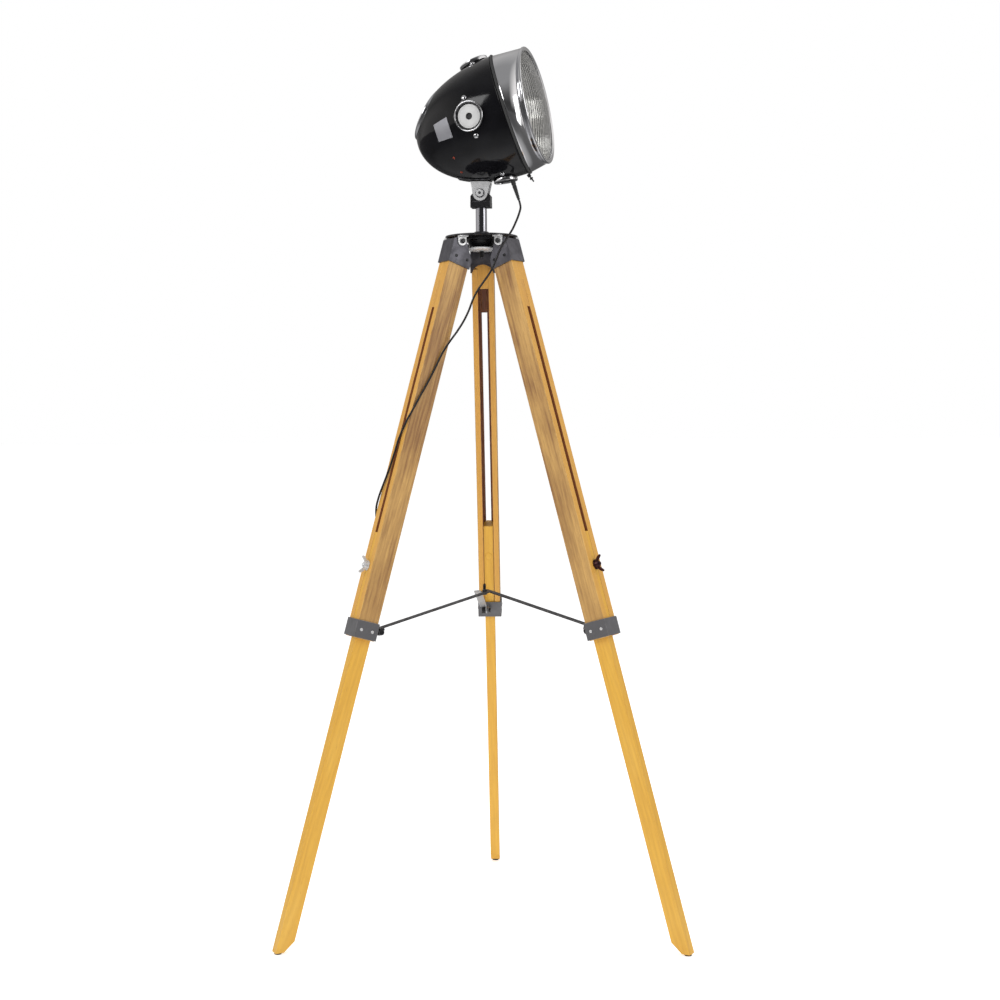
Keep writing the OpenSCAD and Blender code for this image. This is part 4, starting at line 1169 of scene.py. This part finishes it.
class LAMP_OT_mast(bpy.types.Operator):
    """Adds the swivel block and the pole"""

    bl_idname = "lamp.mast"
    bl_label = "Swivel and pole"

    def execute(self, context):
        at = ROW @ shift(0, 0, SHOULDER_Z + 0.1) @ turn(-PAN, "Z")
        rounded("swivel_casting", "swivel_block", at, (0.8, 35, 3), "swivel", "black_metal", cast_black())
        low, high, end, groove = PLATE_Z, SHOULDER_Z, SHOULDER_Z + SPIGOT_H, POLE_R - 0.4
        line = [(0, low), (POLE_R, low), (POLE_R, high - 3.2), (groove, high - 2.9), (groove, high - 2.2),
                (POLE_R, high - 1.9), (POLE_R, high - 0.7), (POLE_R - 0.6, high), (SPIGOT_R, high),
                (SPIGOT_R, end - 0.8), (SPIGOT_R - 0.7, end), (0, end)]
        single("pole_tube", ROW, turned(line, 72), "hub", ["pole"], "pole", dark_pole(), crease=30)
        return {"FINISHED"}


class LAMP_OT_hub(bpy.types.Operator):
    """Adds the hub's boss, plate, washer, hinge tabs and hinge bolts"""

    bl_idname = "lamp.hub"
    bl_label = "Hub"

    def execute(self, context):
        boss = Piece("hub_casting", ROW)
        low, high = PLATE_Z, PLATE_Z + PLATE_T
        bore = POLE_R + 0.05
        upper = [(bore, 0), (BOSS_R, 0), (BOSS_R, 1.2), (29, 1.6), (25.5, 3), (19.5, 4.5), (14.2, 5.4),
                 (12.6, 6.2), (11.9, 7.2), (11.5, BOSS_H), (bore, BOSS_H)]
        boss.add(ease(lathe([(r, z + high + GAP) for r, z in upper], 72), 0.3, 25))
        lower = [(0, 0), (BOSS_R, 0), (BOSS_R, -2.5), (28.6, -3.4), (24.4, -4.9), (23.7, -5.8), (22.5, -9),
                 (18, -14), (13, -LOW_BOSS_H), (STUD_R, -LOW_BOSS_H), (STUD_R, -17.6)]
        for i in range(9):
            lower += [(STUD_R, -18 - 1.4 * i), (STUD_R - 0.6, -18.7 - 1.4 * i)]
        lower += [(3.4, -32), (0, -32)]
        boss.add(turned([(r, z + low - GAP) for r, z in lower], 72))
        boss.done("hub", ["hub_boss"], "black_metal", cast_black(), crease=30, weighted=False)
        at, bore = ROW @ shift(0, 0, PLATE_Z - LOW_BOSS_H - 2 * GAP), STUD_R + 0.05
        dished = [(bore, 0), (HUB_WASHER_R, 0), (HUB_WASHER_R, -0.9), (27.4, -1.6), (26, -2.5), (23.2, -3.6),
                  (20, -4.4), (12, -4.8), (bore, -5)]
        washer = lathe(dished, 96)
        single("hub_washer", at, washer, "hub", ["hub_ring"], "bright_steel", bright_steel(), crease=40)
        rounded("hub_disc", "hub_plate", ROW, (0.6, 50, 3), "hub", "black_metal", cast_black())
        rounded("hinge_lugs", "hinge_tabs", ROW, (0.35, 35), "hub", "bright_steel", bright_steel())
        bolts = Piece("hinge_fasteners", ROW)
        reach = CAP_W / 2 + TAB_GAP + TAB_T
        for leg in LEGS:
            at = ROW.inverted() @ azimuth_frame(leg) @ shift(HINGE_R, 0, HINGE_Z) @ ACROSS
            end = reach + HINGE_HEAD_H
            bolts.add(rod(HINGE_BOLT_R, -reach - 1, end + 0.1, 32), at)
            bolts.add(thread(HINGE_BOLT_R, end, end + 1.5), at)
            bolts.add(hexagon(HINGE_HEAD_R, -end, -reach - GAP), at)
            bolts.add(hexagon(HINGE_HEAD_R, reach + GAP, end), at)
        bolts.done("hub", ["hinge_bolts"], "dark_bolt", cast_black())
        return {"FINISHED"}


def leg_top(out, inward, low):
    """Outline of a leg's top, seen from the side."""
    top = arc(0, 0, WOOD_ROUND, WOOD_ROUND, 148, 58, -10)
    return [(out, 0), (out, low), (-inward, low), (-inward, WOOD_SHOULDER)] + top


class LAMP_OT_upper_legs(bpy.types.Operator):
    """Adds the two lipped rails and the stepped head block of each leg"""

    bl_idname = "lamp.upper_legs"
    bl_label = "Upper legs"

    def execute(self, context):
        edge = sizes()["wood_edge"]
        for leg in LEGS:
            made = Piece(leg + "_rails", leg_frame(leg))
            for side in (-1, 1):
                y0 = SLOT_W / 2 if side > 0 else -LEG_W / 2
                made.add(ease(plate(leg_top(RAIL_OUT, RAIL_IN, -36), y0, y0 + RAIL_T), edge, 35, 3))
                section = [(-RAIL_IN, LEG_W / 2), (RAIL_OUT, LEG_W / 2), (RAIL_OUT, LIP_SLOT / 2),
                           (LIP_IN, LIP_SLOT / 2), (LIP_IN, SLOT_W / 2), (-RAIL_IN, SLOT_W / 2)]
                rail = plate([(x, -side * y) for x, y in section], -UPPER_LEN, -32)
                made.add(ease(rail, edge, 35, 3), turn(90, "X"))
            face, wide, thin = RAIL_OUT - BLOCK_INSET, SLOT_W / 2 - 0.05, LIP_SLOT / 2 - 0.05
            head = plate(leg_top(face, RAIL_IN - BLOCK_INSET, -BLOCK_LEN), -wide, wide)
            made.add(ease(head, edge, 35, 3))
            tongue = block(LIP_IN + 0.1, face - 0.05, -thin, thin, -TONGUE_LEN, -BLOCK_LEN + 2)
            made.add(ease(tongue, 0.5, 35, 2))
            made.done(leg + "_upper", [leg + "_upper_leg"], "upper_wood", upper_wood(leg))
        return {"FINISHED"}


class LAMP_OT_leg_metal(bpy.types.Operator):
    """Adds the caps, the collars and their screws"""

    bl_idname = "lamp.leg_metal"
    bl_label = "Caps and collars"

    def execute(self, context):
        edge = sizes()["sheet_edge"]
        for leg in LEGS:
            at = leg_frame(leg)
            for kind, finish in (("cap", dark_sheet()), ("collar", dark_sheet(150, 0.4))):
                node = f"{leg}_{kind}"
                rounded(node + "_sheet", node, at, (edge, 35), leg + "_upper", "leg_sheet", finish)
            self.screws(leg, at)
        return {"FINISHED"}

    def screws(self, leg, at):
        made = Piece(leg + "_fixings", at)
        head = [(0, 0), (2.6, 0), (2.5, 0.5), (2.0, 1.1), (1.3, 1.4), (1.1, 1.35), (1.0, 0.7), (0, 0.7)]
        for x, z in SCREWS:
            for side in (-1, 1):
                on = shift(x, side * CAP_W / 2, z) @ turn(-90 * side, "X")
                made.add(turned(head, 20), on, finish=1 if z < COLLAR_TOP else 0)
        low, high = LUG_FACE - 6.0, TAB_FACE
        turning = shift(PIVOT_X, 0, PIVOT_Z) @ ACROSS
        made.add(rod(PIVOT_BOLT_R, low - 0.6, high + 5, 24), turning)
        made.add(hexagon(4.5, low - 0.6, low + 2.9), turning)
        knob = started()
        bmesh.ops.create_cone(knob, cap_ends=True, segments=36, radius1=KNOB_R, radius2=KNOB_R, depth=KNOB_W,
                              matrix=shift(0, 0, high + 0.2 + KNOB_W / 2))
        for i, vert in enumerate(sorted(knob.verts, key=lambda v: math.atan2(v.co.y, v.co.x))):
            if (i // 2) % 3 == 0:
                vert.co.xy *= KNOB_NOTCH
        made.add(ease(knob, 0.7, 50, 2), turning)
        made.done(leg + "_upper", [leg + "_screws"], "dark_bolt", cast_black(), bright_steel())


class LAMP_OT_lower_legs(bpy.types.Operator):
    """Adds the lower legs and their foot pads"""

    bl_idname = "lamp.lower_legs"
    bl_label = "Lower legs"

    def execute(self, context):
        edge = sizes()["wood_edge"]
        for leg in LEGS:
            at = leg_frame(leg)
            body = leg + "_lower"
            rounded(leg + "_shaft", body + "_leg", at, (edge, 35, 3), body, "lower_wood", lower_wood(leg))
            rounded(leg + "_glide", leg + "_foot_pad", ROW, (0.7, 50, 3), body, "foot", rubber())
        return {"FINISHED"}


class LAMP_OT_locks(bpy.types.Operator):
    """Adds the lock bolts and the wing nuts"""

    bl_idname = "lamp.locks"
    bl_label = "Locks"

    def execute(self, context):
        for leg in LEGS:
            finish = dark_bronze() if leg == "right" else bright_steel()
            at = leg_frame(leg) @ shift(0, 0, LOCK_Z) @ AXIS_X
            bolt = Piece(leg + "_stud", at)
            plug = [(0, -1.2), (4.6, -1.1), (5.9, -0.7), (6.4, -0.2), (6.4, -0.01), (0, -0.01)]
            bolt.add(turned([(r, z - LOWER_IN) for r, z in plug], 32), finish=1)
            bolt.add(rod(LOCK_BOLT_R, -LOWER_IN - 1, RAIL_OUT, 24))
            bolt.add(thread(LOCK_BOLT_R, RAIL_OUT, RAIL_OUT + 10))
            bolt.done(leg + "_lower", [leg + "_lock_bolt"], "fastener", finish, lower_wood(leg))
            self.wing_nut(leg, finish)
        return {"FINISHED"}

    def wing_nut(self, leg, finish):
        at = leg_frame(leg) @ shift(RAIL_OUT, 0, LOCK_Z) @ AXIS_X
        nut = Piece(leg + "_wings", at)
        bore = LOCK_BOLT_R + 0.05
        washer = [(bore, 0.3), (8.5, 0.3), (8.5, 1.9), (bore, 1.9)]
        barrel = [(bore, 1.95), (6.5, 1.95), (6.1, 4), (5.5, 6.4), (5.0, 7.3), (bore, 7.3)]
        for line, steps in ((washer, 48), (barrel, 40)):
            nut.add(ease(lathe(line, steps), 0.3, 35))
        wing = [(4.2, 2.6), (6.4, 2.9), (9, 4.0), (11.4, 6.0), (13.4, 8.6), (14.5, 11.2), (14.3, 12.7),
                (13.2, 13.5), (11.8, 13.3), (10.2, 12.1), (8.4, 10.4), (6.4, 8.4), (4.4, 7.1)]
        for side in (0, 180):
            nut.add(ease(plate(wing, -WING_T / 2, WING_T / 2), 0.8, 35, 3), turn(side, "Z"))
        nut.done(leg + "_wing", [leg + "_wing_nut"], "fastener", finish)


class LAMP_OT_spreader(bpy.types.Operator):
    """Adds the three spreader arms and the bolt that joins them"""

    bl_idname = "lamp.spreader"
    bl_label = "Spreader"

    def execute(self, context):
        for leg in LEGS:
            # One part in three copies: the rear arm's near-white copy is a painted highlight, and the front
            # arms' darker copy is painted shade.
            finish = dark_sheet(205, 0.85) if leg == "rear" else dark_sheet(48, 0.6)
            node = leg + "_spreader_arm"
            rounded(leg + "_strap", node, ROW, (0.3, 50), leg + "_arm", "spreader", finish, crease=30)
        bolt = Piece("centre_bolt", ROW @ shift(0, 0, SPREADER_Z))
        line = [(0, -6), (3.4, -6), (4.4, -5.2), (4.4, -2.5), (2.5, -2.5), (2.5, 10), (0, 10)]
        bolt.add(ease(turned(line, 32), 0.3, 35))
        bolt.add(thread(2.5, 10, 13, 20))
        bolt.add(hexagon(4.5, -2, 3))
        bolt.done("spreader_centre", ["spreader_bolt"], "dark_bolt", cast_black())
        return {"FINISHED"}


class LAMP_PT_panel(bpy.types.Panel):
    """Lists the lamp's sizes, its colours and the steps that build it"""

    bl_label = "Lamp"
    bl_idname = "LAMP_PT_panel"
    bl_space_type = "VIEW_3D"
    bl_region_type = "UI"
    bl_category = "Lamp"

    def draw(self, context):
        for step in STEPS:
            self.layout.operator(step.bl_idname)
        for group in (context.scene.lamp_sizes, context.scene.lamp_colours):
            box = self.layout.box()
            for name in type(group).__annotations__:
                box.prop(group, name)


STEPS = (
    LAMP_OT_stage, LAMP_OT_cord, LAMP_OT_shell, LAMP_OT_ring, LAMP_OT_optics, LAMP_OT_ports, LAMP_OT_rear,
    LAMP_OT_gland, LAMP_OT_bracket, LAMP_OT_mast, LAMP_OT_hub, LAMP_OT_upper_legs, LAMP_OT_leg_metal,
    LAMP_OT_lower_legs, LAMP_OT_locks, LAMP_OT_spreader)
CLASSES = (LampSizes, LampColours, *STEPS, LAMP_PT_panel)


def register():
    for cls in CLASSES:
        bpy.utils.register_class(cls)
    bpy.types.Scene.lamp_sizes = PointerProperty(type=LampSizes)
    bpy.types.Scene.lamp_colours = PointerProperty(type=LampColours)


def unregister():
    del bpy.types.Scene.lamp_colours
    del bpy.types.Scene.lamp_sizes
    for cls in reversed(CLASSES):
        bpy.utils.unregister_class(cls)


def main():
    register()
    for step in STEPS:
        group, name = step.bl_idname.split(".")
        getattr(getattr(bpy.ops, group), name)()


if __name__ == "__main__":
    main()
